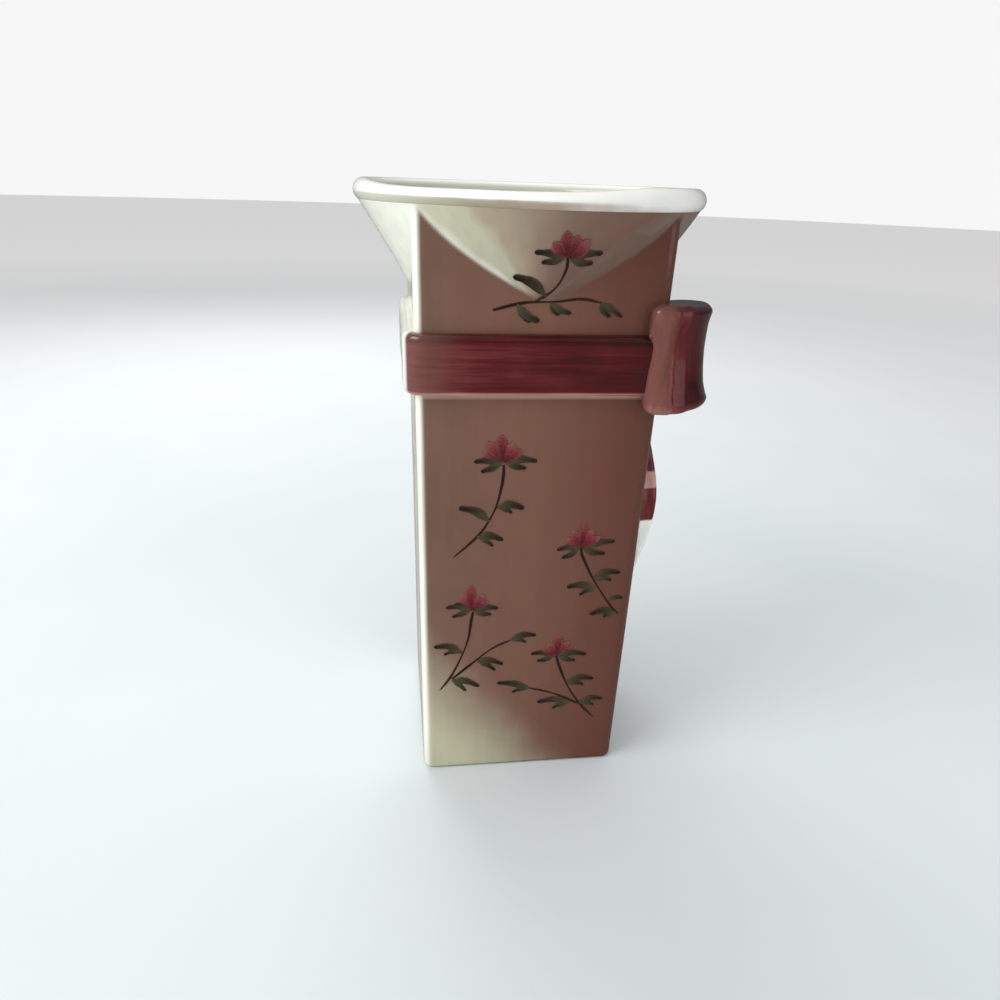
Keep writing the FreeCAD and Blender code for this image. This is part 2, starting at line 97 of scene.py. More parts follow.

# How the glaze ran, and where light and reflections are painted into it
CLOUD_DRIFT = 30 * MM  # how far the clouds shift the edge between two colours
REFLECTION_POINT = 3.7 * MM  # how far left of the V's point the flare's painted reflection, in cream, runs out
FOOT_REFLECTION = 38 * MM  # how high the painted reflection in cream stands over the foot at the middle of a face
REFLECTION_SLANT = 1.24  # how fast that height falls towards +X
RIBBON_HIGHLIGHT = 2.4 * MM  # how deep the painted highlight reaches below the ribbon
HIGHLIGHT_EDGE = 0.8 * MM
GLASSY = {"IOR": 1.5, "Coat Weight": 0.2, "Coat Roughness": 0.05}

# How finely the vessel is drawn round its section
FLAT_STEPS = 92
CORNER_STEPS = 10
LIP_STEPS = 28
BEND_STEPS = 8

# The lip is slack towards the front left
SLACK_SIDE = (-0.45, -0.893, 0.0)

# The brush: how its strokes lie over one another, in millimetres, and how its width wavers
STROKE_POINTS = 14
FIRST_LIFT = 0.12
LIFT_STEP = 0.05
THINNEST = 0.12
BRUSH_WOBBLE = 0.12
STAND_OFF = 200 * MM  # how far before its face a drawing stands

# The photograph's own viewpoint, in metres and degrees
CAMERA_SPOT = (-0.05738, -0.34289, 0.26008)
CAMERA_YAW, CAMERA_PITCH, CAMERA_ROLL = -8.306, -22.187, 2.121
CAMERA_LENS = 28.24

FLOOR_RADIUS = 8.0  # in metres, so that its edge is out of sight

# Painted sprigs of the front, in millimetres across the face and up from the foot.
# A stroke is its kind, its widest half width, and the points that the brush went through.
SPRIGS = [
    [("petal", 1.7, [(4.9, 235.7), (0.6, 237.6), (-2.0, 238.1)]),
     ("petal", 1.9, [(4.9, 235.7), (1.2, 238.9), (-1.4, 240.9)]),
     ("petal", 2.3, [(4.9, 235.7), (3.6, 240.8), (3.0, 245.1)]),
     ("petal", 2.2, [(4.9, 235.7), (6.6, 240.2), (7.3, 243.5)]),
     ("petal", 2.1, [(4.9, 235.7), (9.4, 239.2), (12.0, 242.2)]),
     ("petal", 1.6, [(4.9, 235.7), (9.0, 237.2), (12.0, 238.4)]),
     ("leaf", 1.5, [(4.2, 235.6), (-1.4, 236.9), (-7.1, 237.2)]),
     ("leaf", 1.4, [(4.0, 235.2), (-0.2, 234.0), (-4.1, 233.7)]),
     ("leaf", 1.5, [(5.6, 235.4), (11.6, 236.9), (17.9, 237.2)]),
     ("leaf", 1.4, [(6.0, 235.0), (10.6, 233.6), (14.9, 233.6)]),
     ("stem", 0.6, [(5.0, 235.4), (5.4, 231.4), (3.3, 224.9), (-0.5, 221.0), (-3.9, 218.9)]),
     ("leaf", 1.9, [(-0.5, 221.0), (-6.2, 226.0), (-13.1, 228.2)]),
     ("stem", 0.6, [(-19.8, 215.3), (-10.9, 217.7), (-4.5, 218.5), (4.5, 218.7), (13.6, 219.9),
                    (21.5, 218.5)]),
     ("leaf", 1.7, [(-10.9, 217.6), (-7.4, 213.6), (-2.2, 211.5)]),
     ("leaf", 1.1, [(-9.4, 215.6), (-7.6, 212.6), (-5.6, 211.0)]),
     ("leaf", 1.3, [(1.9, 218.4), (3.4, 215.6), (5.3, 213.8)]),
     ("leaf", 1.4, [(2.2, 218.2), (5.6, 215.6), (9.8, 214.6)]),
     ("leaf", 1.3, [(21.1, 218.6), (22.6, 215.6), (25.0, 213.4)]),
     ("leaf", 1.3, [(21.6, 218.4), (25.4, 216.4), (29.7, 213.4)])],
    [("petal", 2.0, [(-13.3, 155.1), (-18.4, 157.6), (-22.3, 159.1)]),
     ("petal", 2.3, [(-13.3, 155.1), (-17.8, 160.4), (-20.5, 164.1)]),
     ("petal", 2.5, [(-13.3, 155.1), (-14.4, 161.6), (-14.6, 167.0)]),
     ("petal", 2.2, [(-13.3, 155.1), (-11.2, 159.8), (-9.6, 163.6)]),
     ("petal", 2.0, [(-13.3, 155.1), (-9.2, 158.0), (-5.8, 160.2)]),
     ("leaf", 1.6, [(-14.0, 154.9), (-19.6, 155.9), (-25.4, 155.3)]),
     ("leaf", 1.5, [(-14.2, 154.4), (-18.6, 152.4), (-22.5, 151.0)]),
     ("leaf", 1.6, [(-12.6, 154.9), (-6.2, 156.2), (0.2, 155.4)]),
     ("leaf", 1.4, [(-12.2, 154.4), (-8.0, 153.0), (-4.2, 152.4)]),
     ("stem", 0.65, [(-13.3, 153.9), (-13.4, 147.4), (-15.5, 136.3), (-18.6, 129.1), (-23.4, 121.9),
                     (-32.9, 112.8)]),
     ("leaf", 1.9, [(-18.6, 129.1), (-24.0, 133.6), (-31.1, 135.3)]),
     ("leaf", 1.8, [(-15.4, 135.0), (-10.0, 136.4), (-4.2, 134.7)]),
     ("leaf", 1.2, [(-14.6, 134.8), (-11.6, 134.2), (-9.1, 132.6)]),
     ("leaf", 1.8, [(-23.4, 121.9), (-18.0, 122.4), (-12.4, 120.2)]),
     ("leaf", 1.2, [(-22.6, 121.4), (-19.4, 120.0), (-16.5, 117.5)])],
    [("petal", 1.8, [(21.5, 115.9), (17.6, 118.2), (14.6, 119.9)]),
     ("petal", 2.1, [(21.5, 115.9), (18.8, 120.6), (16.9, 124.1)]),
     ("petal", 2.3, [(21.5, 115.9), (22.0, 121.8), (21.9, 127.3)]),
     ("petal", 2.1, [(21.5, 115.9), (24.4, 120.4), (26.0, 124.3)]),
     ("petal", 1.9, [(21.5, 115.9), (26.2, 118.6), (29.8, 120.9)]),
     ("leaf", 1.5, [(20.8, 115.6), (16.0, 116.0), (11.1, 114.8)]),
     ("leaf", 1.4, [(20.6, 115.0), (17.2, 112.4), (13.5, 110.9)]),
     ("leaf", 1.6, [(22.2, 115.8), (29.0, 117.8), (36.2, 118.4)]),
     ("leaf", 1.4, [(22.4, 115.0), (27.2, 113.2), (32.3, 112.7)]),
     ("stem", 0.65, [(21.5, 115.5), (22.2, 112.1), (28.1, 100.1), (34.4, 90.3), (38.1, 85.1), (41.2, 82.0)]),
     ("leaf", 1.6, [(28.1, 100.6), (33.6, 103.4), (39.9, 103.2)]),
     ("leaf", 1.2, [(28.8, 100.0), (32.8, 100.6), (36.3, 99.3)]),
     ("leaf", 1.8, [(29.4, 95.6), (23.0, 97.4), (16.8, 96.6)]),
     ("leaf", 1.3, [(29.0, 95.0), (25.8, 94.6), (22.5, 92.3)]),
     ("leaf", 1.2, [(36.3, 89.2), (39.4, 90.6), (42.4, 90.2)]),
     ("leaf", 1.7, [(40.0, 82.6), (34.0, 84.0), (28.2, 82.4)]),
     ("leaf", 1.1, [(38.6, 82.4), (36.4, 82.2), (34.4, 80.5)])],
    [("petal", 2.1, [(-24.7, 86.7), (-27.6, 91.2), (-29.2, 94.8)]),
     ("petal", 2.4, [(-24.7, 86.7), (-25.4, 93.2), (-25.4, 99.1)]),
     ("petal", 2.2, [(-24.7, 86.7), (-21.8, 90.8), (-19.7, 94.5)]),
     ("petal", 1.6, [(-24.7, 86.7), (-20.4, 89.0), (-17.4, 90.6)]),
     ("leaf", 1.5, [(-25.4, 86.8), (-30.6, 88.6), (-36.0, 88.2)]),
     ("leaf", 1.3, [(-25.6, 86.2), (-29.4, 84.8), (-33.3, 83.5)]),
     ("leaf", 1.1, [(-25.6, 87.2), (-29.0, 89.4), (-32.1, 90.0)]),
     ("leaf", 1.5, [(-24.0, 86.6), (-18.8, 87.8), (-13.3, 87.2)]),
     ("leaf", 1.3, [(-23.8, 86.0), (-20.0, 84.6), (-16.3, 84.3)]),
     ("stem", 0.65, [(-24.2, 85.7), (-25.0, 80.6), (-26.1, 71.4), (-29.1, 62.1), (-33.8, 51.6),
                     (-38.3, 45.3)]),
     ("leaf", 1.7, [(-28.7, 64.7), (-34.4, 68.4), (-41.1, 68.5)]),
     ("leaf", 1.1, [(-29.8, 65.0), (-33.4, 65.4), (-36.7, 64.1)]),
     ("stem", 0.6, [(-32.9, 51.0), (-22.7, 60.1), (-14.8, 66.6), (-6.9, 70.4)]),
     ("leaf", 1.7, [(-7.4, 70.2), (-1.6, 72.8), (4.3, 72.5)]),
     ("leaf", 1.1, [(-6.6, 70.0), (-3.2, 70.4), (0.0, 69.0)]),
     ("leaf", 1.5, [(-21.8, 60.4), (-15.8, 60.2), (-10.0, 57.8)]),
     ("leaf", 1.2, [(-21.6, 59.8), (-17.4, 58.0), (-13.5, 54.8)]),
     ("leaf", 1.7, [(-32.9, 50.2), (-27.0, 49.8), (-20.6, 46.4)]),
     ("leaf", 1.2, [(-32.6, 49.6), (-29.6, 47.6), (-26.5, 44.0)])],
    [("petal", 1.7, [(14.2, 61.4), (10.0, 63.2), (7.1, 65.0)]),
     ("petal", 2.1, [(14.2, 61.4), (11.8, 65.2), (10.1, 68.0)]),
     ("petal", 2.4, [(14.2, 61.4), (14.8, 67.2), (14.9, 72.0)]),
     ("petal", 2.1, [(14.2, 61.4), (17.2, 65.4), (19.7, 68.6)]),
     ("leaf", 1.5, [(13.4, 61.4), (8.0, 63.0), (2.6, 62.5)]),
     ("leaf", 1.3, [(13.2, 60.8), (9.2, 59.2), (5.6, 58.6)]),
     ("leaf", 1.6, [(15.0, 61.4), (21.4, 62.4), (28.2, 61.2)]),
     ("leaf", 1.3, [(15.2, 60.8), (19.2, 59.0), (23.2, 58.2)]),
     ("stem", 0.65, [(14.2, 60.8), (17.1, 52.5), (21.1, 43.3), (27.0, 33.9), (34.5, 25.2)]),
     ("leaf", 1.6, [(19.9, 45.9), (26.0, 48.6), (32.6, 47.7)]),
     ("leaf", 1.1, [(20.6, 45.4), (24.4, 45.8), (28.1, 44.6)]),
     ("stem", 0.6, [(26.0, 33.9), (18.1, 38.4), (10.4, 41.6), (2.7, 43.9)]),
     ("leaf", 1.7, [(3.2, 43.8), (-4.6, 46.8), (-12.3, 47.6)]),
     ("leaf", 1.2, [(2.4, 43.6), (-1.4, 43.6), (-5.2, 42.1)]),
     ("leaf", 1.7, [(22.6, 35.0), (14.8, 36.8), (6.9, 35.7)]),
     ("leaf", 1.2, [(21.8, 34.6), (18.0, 33.8), (14.2, 31.8)]),
     ("leaf", 1.4, [(27.0, 34.2), (32.6, 36.6), (37.9, 36.0)]),
     ("leaf", 1.0, [(27.6, 33.8), (30.8, 34.0), (33.9, 32.8)])],
]
# The same hand on the other faces: the sprig, whether it is turned about, its shift across and up
BACK_SPRIGS = [(0, -1, 2.0, 0.0), (1, -1, 2.0, 1.0), (2, -1, -1.0, -2.0), (3, -1, 0.0, 3.0),
               (4, -1, -3.0, -1.0)]
RIGHT_SPRIGS = [(3, -1, 0.0, -8.0), (4, -1, 0.0, -2.0)]


def hex_colour(code):
    """An sRGB hex colour as linear red, green and blue, with full cover."""
    channels = [int(code[i:i + 2], 16) / 255 for i in (1, 3, 5)]
    return [c / 12.92 if c <= 0.04045 else ((c + 0.055) / 1.055) ** 2.4 for c in channels] + [1.0]


def add(tree, kind, settings=None, inputs=None):
    """A node with its settings, its inputs set or linked, and its colour stops if it has any."""
    node = tree.nodes.new(kind)
    for name, setting in (settings or {}).items():
        if name != "stops":
            setattr(node, name, setting)
            continue
        elements = node.color_ramp.elements
        for number, (place, code) in enumerate(setting):
            stop = elements[number] if number < 2 else elements.new(place)
            stop.position = place
            stop.color = hex_colour(code)
    for place, source in (inputs or {}).items():
        if isinstance(source, bpy.types.NodeSocket):
            tree.links.new(source, node.inputs[place])
        else:
            node.inputs[place].default_value = source
    return node


def smooth_step(low, high, number):
    share = min(max((number - low) / (high - low), 0.0), 1.0)
    return share * share * (3 - 2 * share)


def between(heights, number):
    """One between the middle two heights, and none beyond the outer two."""
    return smooth_step(*heights[:2], number) * (1 - smooth_step(*heights[2:], number))


def new_object(name, mesh):
    piece = bpy.data.objects.new(name, mesh)
    bpy.context.scene.collection.objects.link(piece)
    return piece


def plain_mesh(piece, name):
    """The piece's evaluated mesh in an object of its own, in the old one's place."""
    bpy.context.view_layer.update()
    evaluated = piece.evaluated_get(bpy.context.evaluated_depsgraph_get())
    mesh = bpy.data.meshes.new_from_object(evaluated)
    bpy.data.objects.remove(piece)
    return new_object(name, mesh)


def node_piece(base, name, tree, sizes):
    """Runs a geometry tree on a base object with named sizes, and keeps the result as a plain mesh."""
    modifier = base.modifiers.new("Shape", "NODES")
    modifier.node_group = tree
    identifiers = {item.name: item.identifier for item in tree.interface.items_tree
                   if item.in_out == "INPUT"}
    for label, size in sizes.items():
        modifier[identifiers[label]] = size
    return plain_mesh(base, name)


def new_tree(name, inputs):
    """A geometry tree with its named inputs, which gives it back with its input and output nodes."""
    tree = bpy.data.node_groups.new(name, "GeometryNodeTree")
    tree.interface.new_socket("Geometry", in_out="INPUT", socket_type="NodeSocketGeometry")
    for label, kind, start in inputs:
        socket = tree.interface.new_socket(label, in_out="INPUT", socket_type=kind)
        if start is not None:
            socket.default_value = start
    tree.interface.new_socket("Geometry", in_out="OUTPUT", socket_type="NodeSocketGeometry")
    return tree, add(tree, "NodeGroupInput").outputs, add(tree, "NodeGroupOutput").inputs


def end_shape(tree, shape, finish, result):
    """Ends a geometry tree: the shape shaded smooth, made real, and given its finish."""
    shape = add(tree, "GeometryNodeSetShadeSmooth", None, {0: shape}).outputs[0]
    shape = add(tree, "GeometryNodeRealizeInstances", None, {0: shape}).outputs[0]
    shape = add(tree, "GeometryNodeSetMaterial", None, {"Geometry": shape, "Material": finish}).outputs[0]
    tree.links.new(shape, result[0])


# Glazes and enamels


def new_material(name):
    material = bpy.data.materials.new(name)
    material.use_nodes = True
    material.node_tree.nodes.clear()
    return material, material.node_tree


def fired_surface(tree, colour, roughness, bump, settings):
    """Ends a glaze: a glossy glass skin over the coloured body."""
    inputs = {"Base Color": colour, "Roughness": roughness, "Normal": bump}
    inputs.update(settings)
    shader = add(tree, "ShaderNodeBsdfPrincipled", None, inputs)
    add(tree, "ShaderNodeOutputMaterial", None, {"Surface": shader.outputs[0]})


def laid_over(tree, below, colour, reading, low, high, most=1.0):
    """A colour over the one below, from none where a reading is low to its most where it is high."""
    cover = add(tree, "ShaderNodeMapRange", {"interpolation_type": "SMOOTHSTEP"},
                {"Value": reading, "From Min": low, "From Max": high, "To Max": most}).outputs[0]
    return add(tree, "ShaderNodeMix", {"data_type": "RGBA"}, {0: cover, 6: below, 7: colour}).outputs[2]


def glaze_skin(tree, place, depth):
    """Roughness and bump of a poured glaze: slow waves 25 mm long, and orange peel of 2 mm."""
    waves = add(tree, "ShaderNodeTexNoise", None, {"Vector": place, "Scale": 40.0, "Detail": 2.0})
    peel = add(tree, "ShaderNodeTexNoise", None, {"Vector": place, "Scale": 480.0, "Detail": 3.0})
    rough = add(tree, "ShaderNodeMapRange", None,
                {"Value": waves.outputs["Fac"], "From Min": 0.35, "From Max": 0.65,
                 "To Min": 0.10, "To Max": 0.20})
    slow = add(tree, "ShaderNodeBump", None,
               {"Strength": 0.5, "Distance": depth, "Height": waves.outputs["Fac"]})
    fine = add(tree, "ShaderNodeBump", None,
               {"Strength": 0.22, "Distance": depth / 8, "Height": peel.outputs["Fac"],
                "Normal": slow.outputs[0]})
    return rough.outputs[0], fine.outputs[0]


def flat_colours_with_painted_shade(tree, across):
    """The rose brown of the flat faces, from the left edge to the right, darker towards +X as painted shade.
    """
    share = add(tree, "ShaderNodeMapRange", None,
                {"Value": across, "From Min": -MOUTH_WIDTH / 2, "From Max": MOUTH_WIDTH / 2}).outputs[0]
    return add(tree, "ShaderNodeValToRGB", {"stops": [
        (0.0, "#745A4B"), (1.0, "#5E382E"), (0.25, "#7C594B"), (0.5, "#7A5647"), (0.78, "#6E4539")]},
        {0: share}).outputs[0]


def flare_colours_with_painted_reflection(tree, axes, drift):
    """The flare, cream on the left as a painted reflection and brown on the right, parted by a line that runs
    to the V's point.
    """
    rise = add(tree, "ShaderNodeMath", {"operation": "SUBTRACT"},
               {0: axes["Z"], 1: SEAT_HEIGHT - FLARE_RISE}).outputs[0]
    rise = add(tree, "ShaderNodeMath", {"operation": "MAXIMUM"}, {0: rise, 1: 3 * MM}).outputs[0]
    ruling = add(tree, "ShaderNodeMath", {"operation": "ADD"}, {0: axes["X"], 1: REFLECTION_POINT}).outputs[0]
    ruling = add(tree, "ShaderNodeMath", {"operation": "DIVIDE"}, {0: ruling, 1: rise}).outputs[0]
    ruling = add(tree, "ShaderNodeMath", {"operation": "MULTIPLY_ADD"},
                 {0: ruling, 1: FLARE_RISE, 2: drift}).outputs[0]
    ruling = add(tree, "ShaderNodeMapRange", None,
                 {"Value": ruling, "From Min": -MOUTH_WIDTH / 2, "From Max": MOUTH_WIDTH / 2}).outputs[0]
    return add(tree, "ShaderNodeValToRGB", {"stops": [
        (0.0, "#F6F7E8"), (1.0, "#7C675B"), (0.08, "#CAC7AE"), (0.2, "#C6C3AA"), (0.25, "#B7A892"),
        (0.33, "#B09F89"), (0.476, "#998373"), (0.62, "#84695C"), (0.87, "#7A5B4D")]},
        {0: ruling}).outputs[0]


def painted_reflection_and_highlight(tree, body, axes, across):
    """A painted reflection in cream over the foot on the left, and a painted highlight in rose just below the
    ribbon.
    """
    slant = add(tree, "ShaderNodeMath", {"operation": "MULTIPLY_ADD"},
                {0: across, 1: REFLECTION_SLANT, 2: axes["Z"]}).outputs[0]
    # painted reflection in cream over the foot, highest on the left
    body = laid_over(tree, body, hex_colour("#C4C2A6"), slant, FOOT_REFLECTION, -FOOT_REFLECTION)
    # painted highlight in rose just below the ribbon
    highlight_below = add(tree, "ShaderNodeMapRange", {"interpolation_type": "SMOOTHSTEP"},
               {"Value": axes["Z"], "From Min": BAND_LOW - RIBBON_HIGHLIGHT, "From Max": BAND_LOW - HIGHLIGHT_EDGE,
                "To Max": 0.8}).outputs[0]
    below = add(tree, "ShaderNodeMath", {"operation": "LESS_THAN"}, {0: axes["Z"], 1: BAND_LOW}).outputs[0]
    highlight_below = add(tree, "ShaderNodeMath", {"operation": "MULTIPLY"}, {0: highlight_below, 1: below}).outputs[0]
    return add(tree, "ShaderNodeMix", {"data_type": "RGBA"},
               {0: highlight_below, 6: body, 7: hex_colour("#C9A093")}).outputs[2]


def make_vessel_glaze():
    """Earthenware under a poured glaze of rose brown, with light and shade painted into its colour:
    cream as painted light and reflection on the -X side, the flare's left and the foot, and darker
    towards +X as painted shade. The eye sees a deep wet gloss and fine upright runs."""
    material, tree = new_material("rose_brown_glaze_with_painted_light_and_shade")
    place = add(tree, "ShaderNodeTexCoord").outputs["Object"]
    axes = add(tree, "ShaderNodeSeparateXYZ", None, {0: place}).outputs
    flare, side, inside = [add(tree, "ShaderNodeAttribute", {"attribute_name": label}).outputs["Fac"]
                           for label in ("flare", "side", "inside")]
    # clouds 30 mm across, and runs 4 mm wide and 60 mm long
    clouds = add(tree, "ShaderNodeTexNoise", None,
                 {"Vector": place, "Scale": 34.0, "Detail": 3.0}).outputs["Fac"]
    stretch = add(tree, "ShaderNodeMapping", None, {"Vector": place, "Scale": (250.0, 250.0, 16.0)})
    runs = add(tree, "ShaderNodeTexNoise", None,
               {"Vector": stretch.outputs[0], "Scale": 1.0, "Detail": 3.0}).outputs["Fac"]
    drift = add(tree, "ShaderNodeMath", {"operation": "MULTIPLY_ADD"},
                {0: clouds, 1: CLOUD_DRIFT, 2: -CLOUD_DRIFT / 2}).outputs[0]
    across = add(tree, "ShaderNodeMath", {"operation": "ADD"}, {0: axes["X"], 1: drift}).outputs[0]
    # painted shade darkens the flats towards +X, and a painted reflection makes the flare cream on its left
    body = add(tree, "ShaderNodeMix", {"data_type": "RGBA"},
               {0: flare, 6: flat_colours_with_painted_shade(tree, across), 7: flare_colours_with_painted_reflection(tree, axes, drift)}).outputs[2]
    body = painted_reflection_and_highlight(tree, body, axes, across)
    # painted light: the lit -X side and its corners are cream all the way up
    body = laid_over(tree, body, hex_colour("#F1F3E6"), side, 0.22, 0.75)
    # runs and clouds darken and lighten it by about a tenth
    tone = add(tree, "ShaderNodeMath", {"operation": "MULTIPLY_ADD"},
               {0: runs, 1: 0.5, 2: clouds}).outputs[0]
    tone = add(tree, "ShaderNodeMapRange", None,
               {"Value": tone, "From Min": 0.45, "From Max": 1.05, "To Min": 0.88, "To Max": 1.10}).outputs[0]
    body = add(tree, "ShaderNodeVectorMath", {"operation": "SCALE"}, {0: body, "Scale": tone}).outputs[0]
    # the well is painted shade: a pale grey green, darker towards the floor
    well = add(tree, "ShaderNodeMapRange", None,
               {"Value": axes["Z"], "From Min": 50 * MM, "From Max": 250 * MM}).outputs[0]
    well = add(tree, "ShaderNodeValToRGB", {"stops": [
        (0.0, "#A4AA96"), (1.0, "#C4C9B9"), (0.7, "#BBC0B0")]}, {0: well}).outputs[0]
    body = add(tree, "ShaderNodeMix", {"data_type": "RGBA"}, {0: inside, 6: body, 7: well}).outputs[2]
    roughness, bump = glaze_skin(tree, place, 0.4 * MM)
    fired_surface(tree, body, roughness, bump, GLASSY)
    return material


def make_rim_glaze():
    """The rolled lip, where the glaze is thick and opaque white. The eye sees a bright soft bead, with
    painted shade in rose brown below its outer side and in grey green inside, and painted light that carries
    the white further down towards +X."""
    material, tree = new_material("white_lip_glaze_with_painted_light_and_shade")
    place = add(tree, "ShaderNodeTexCoord").outputs["Object"]
    axes = add(tree, "ShaderNodeSeparateXYZ", None, {0: place}).outputs
    roll, inside = [add(tree, "ShaderNodeAttribute", {"attribute_name": label}).outputs["Fac"]
                    for label in ("roll", "inside")]
    clouds = add(tree, "ShaderNodeTexNoise", None,
                 {"Vector": place, "Scale": 60.0, "Detail": 3.0}).outputs["Fac"]
    # painted shade below the bead's outer side, paler towards -X
    share = add(tree, "ShaderNodeMapRange", None,
                {"Value": axes["X"], "From Min": -FLARE_RADIUS, "From Max": FLARE_RADIUS}).outputs[0]
    under = add(tree, "ShaderNodeValToRGB", {"stops": [
        (0.0, "#D2D5C2"), (1.0, "#C4A89B"), (0.3, "#ACA28D"), (0.55, "#B8A090")]}, {0: share}).outputs[0]
    # painted light: the white runs further down towards +X
    lower = add(tree, "ShaderNodeMapRange", None,
                {"Value": axes["X"], "From Min": -20 * MM, "From Max": 45 * MM, "To Max": 0.26}).outputs[0]
    lower = add(tree, "ShaderNodeMath", {"operation": "ADD"}, {0: lower, 1: roll}).outputs[0]
    edge = add(tree, "ShaderNodeMath", {"operation": "MULTIPLY_ADD"},
               {0: clouds, 1: 0.3, 2: lower}).outputs[0]
    white = add(tree, "ShaderNodeValToRGB", {"stops": [
        (0.3, "#F4F5EE"), (0.7, "#FBFBF8")]}, {0: clouds}).outputs[0]
    body = laid_over(tree, under, white, edge, 0.16, 0.42)
    # painted shade in grey green on the bead's inner side
    body = add(tree, "ShaderNodeMix", {"data_type": "RGBA"},
               {0: inside, 6: body, 7: hex_colour("#C6CBBA")}).outputs[2]
    roughness, bump = glaze_skin(tree, place, 0.35 * MM)
    fired_surface(tree, body, roughness, bump, GLASSY)
    return material


def make_ribbon_glaze(name, brush, low, high):
    """Iron-red underglaze brushed on the ribbon and fired under the clear glaze. The eye sees streaks of the
    brush, wine red where it is thick and rose where the brush left less, with painted light that makes it
    paler towards -X and along lit edges, and painted shade on its tops."""
    material, tree = new_material(name)
    place = add(tree, "ShaderNodeTexCoord").outputs["Object"]
    axes = add(tree, "ShaderNodeSeparateXYZ", None, {0: place}).outputs
    thin, bare = [add(tree, "ShaderNodeAttribute", {"attribute_name": label}).outputs["Fac"]
                  for label in ("thin", "bare")]
    stretch = add(tree, "ShaderNodeMapping", None, {"Vector": place, "Scale": brush})
    streaks = add(tree, "ShaderNodeTexNoise", None,
                  {"Vector": stretch.outputs[0], "Scale": 1.0, "Detail": 4.0,
                   "Roughness": 0.6}).outputs["Fac"]
    clouds = add(tree, "ShaderNodeTexNoise", None,
                 {"Vector": place, "Scale": 55.0, "Detail": 2.0}).outputs["Fac"]
    # painted light: the paint is paler towards -X
    share = add(tree, "ShaderNodeMapRange", None,
                {"Value": axes["X"], "From Min": low, "From Max": high,
                 "To Min": 0.22, "To Max": 0.0}).outputs[0]
    load = share
    for part, weight in ((streaks, 0.42), (clouds, 0.2)):
        load = add(tree, "ShaderNodeMath", {"operation": "MULTIPLY_ADD"},
                   {0: part, 1: weight, 2: load}).outputs[0]
    load = add(tree, "ShaderNodeMath", {"operation": "ADD"}, {0: load, 1: thin}).outputs[0]
    paint = add(tree, "ShaderNodeValToRGB", {"stops": [
        (0.18, "#2E0609"), (1.0, "#C79A90"), (0.34, "#470A10"), (0.46, "#5A151B"), (0.64, "#7E3C3A")]},
        {0: load}).outputs[0]
    # towards its -X end the brown glaze shows through; where the cover is white, the clay at the tips of the
    # ribbon ends was left without paint, and over the band's -X side the white is a painted reflection
    paint = laid_over(tree, paint, hex_colour("#86685C"), share, 0.17, 0.22, 0.36)
    paint = add(tree, "ShaderNodeMix", {"data_type": "RGBA"},
                {0: bare, 6: paint, 7: hex_colour("#FAFBF4")}).outputs[2]
    roughness, bump = glaze_skin(tree, place, 0.4 * MM)
    ridges = add(tree, "ShaderNodeBump", None,
                 {"Strength": 0.5, "Distance": 0.12 * MM, "Height": streaks, "Normal": bump}).outputs[0]
    fired_surface(tree, paint, roughness, ridges, GLASSY)
    return material


def make_enamel(name, stops, rim, seed):
    """Enamel laid on the fired glaze with a loaded brush. The eye sees a raised stroke,
    thinner in its middle, darker where it dried at the tip, and so faint at its edges
    that the glaze below tints it."""
    material, tree = new_material(name)
    place = add(tree, "ShaderNodeTexCoord").outputs["Object"]
    along, tone, edge = [add(tree, "ShaderNodeAttribute", {"attribute_name": label}).outputs["Fac"]
                         for label in ("along", "tone", "edge")]
    hairs = add(tree, "ShaderNodeTexNoise", None,
                {"Vector": place, "Scale": 900.0, "Detail": 2.0, "Distortion": seed}).outputs["Fac"]
    load = along
    for part, weight in ((hairs, 0.4), (tone, 0.25)):
        load = add(tree, "ShaderNodeMath", {"operation": "MULTIPLY_ADD"},
                   {0: part, 1: weight, 2: load}).outputs[0]
    load = add(tree, "ShaderNodeMapRange", None,
               {"Value": load, "From Min": 0.25, "From Max": 1.35}).outputs[0]
    paint = add(tree, "ShaderNodeValToRGB", {"stops": stops}, {0: load}).outputs[0]
    edge = add(tree, "ShaderNodeMath", {"operation": "MULTIPLY_ADD"}, {0: hairs, 1: 0.3, 2: edge}).outputs[0]
    edge = add(tree, "ShaderNodeMapRange", None,
               {"Value": edge, "From Min": 0.55, "From Max": 1.2, "To Max": 0.75}).outputs[0]
    paint = add(tree, "ShaderNodeMix", {"data_type": "RGBA"},
                {0: edge, 6: paint, 7: hex_colour(rim)}).outputs[2]
    bump = add(tree, "ShaderNodeBump", None,
               {"Strength": 0.4, "Distance": 0.08 * MM, "Height": hairs}).outputs[0]
    rough = add(tree, "ShaderNodeMapRange", None,
                {"Value": hairs, "To Min": 0.18, "To Max": 0.38}).outputs[0]
    fired_surface(tree, paint, rough, bump, {"IOR": 1.5})
    return material


# The square vessel, its lip and its ribbon


def around_square(flat_steps, corner_steps):
    """Round the square once: for each column its place on the unit square and the way it faces."""
    columns = []
    for quarter in range(4):
        angle = quarter * math.pi / 2
        out = Vector((math.cos(angle), math.sin(angle), 0))
        along = Vector((-out.y, out.x, 0))
        for step in range(flat_steps + 1):
            columns.append((out + along * (2 * step / flat_steps - 1), out))
        for step in range(1, corner_steps):
            turn = step / corner_steps * math.pi / 2
            columns.append((out + along, out * math.cos(turn) + along * math.sin(turn)))
    return columns


def row(level, inset=0.0, flare_inset=0.0, corner=CORNER_RADIUS, shrink=1.0, bead=0.0, inside=0.0,
        roll=0.0):
    """One row round the vessel: its level, how far it lies inside the square's and the flare's outside,
    its corner's radius, how far it is drawn in, its radius on the lip's bead, and what the glaze reads."""
    return {"level": level, "inset": inset, "flare_inset": flare_inset, "corner": corner, "shrink": shrink,
            "bead": bead, "inside": inside, "roll": roll}


def steps_between(low, high, spacing):
    count = max(1, round(abs(high - low) / spacing))
    return [low + (high - low) * number / count for number in range(count + 1)]


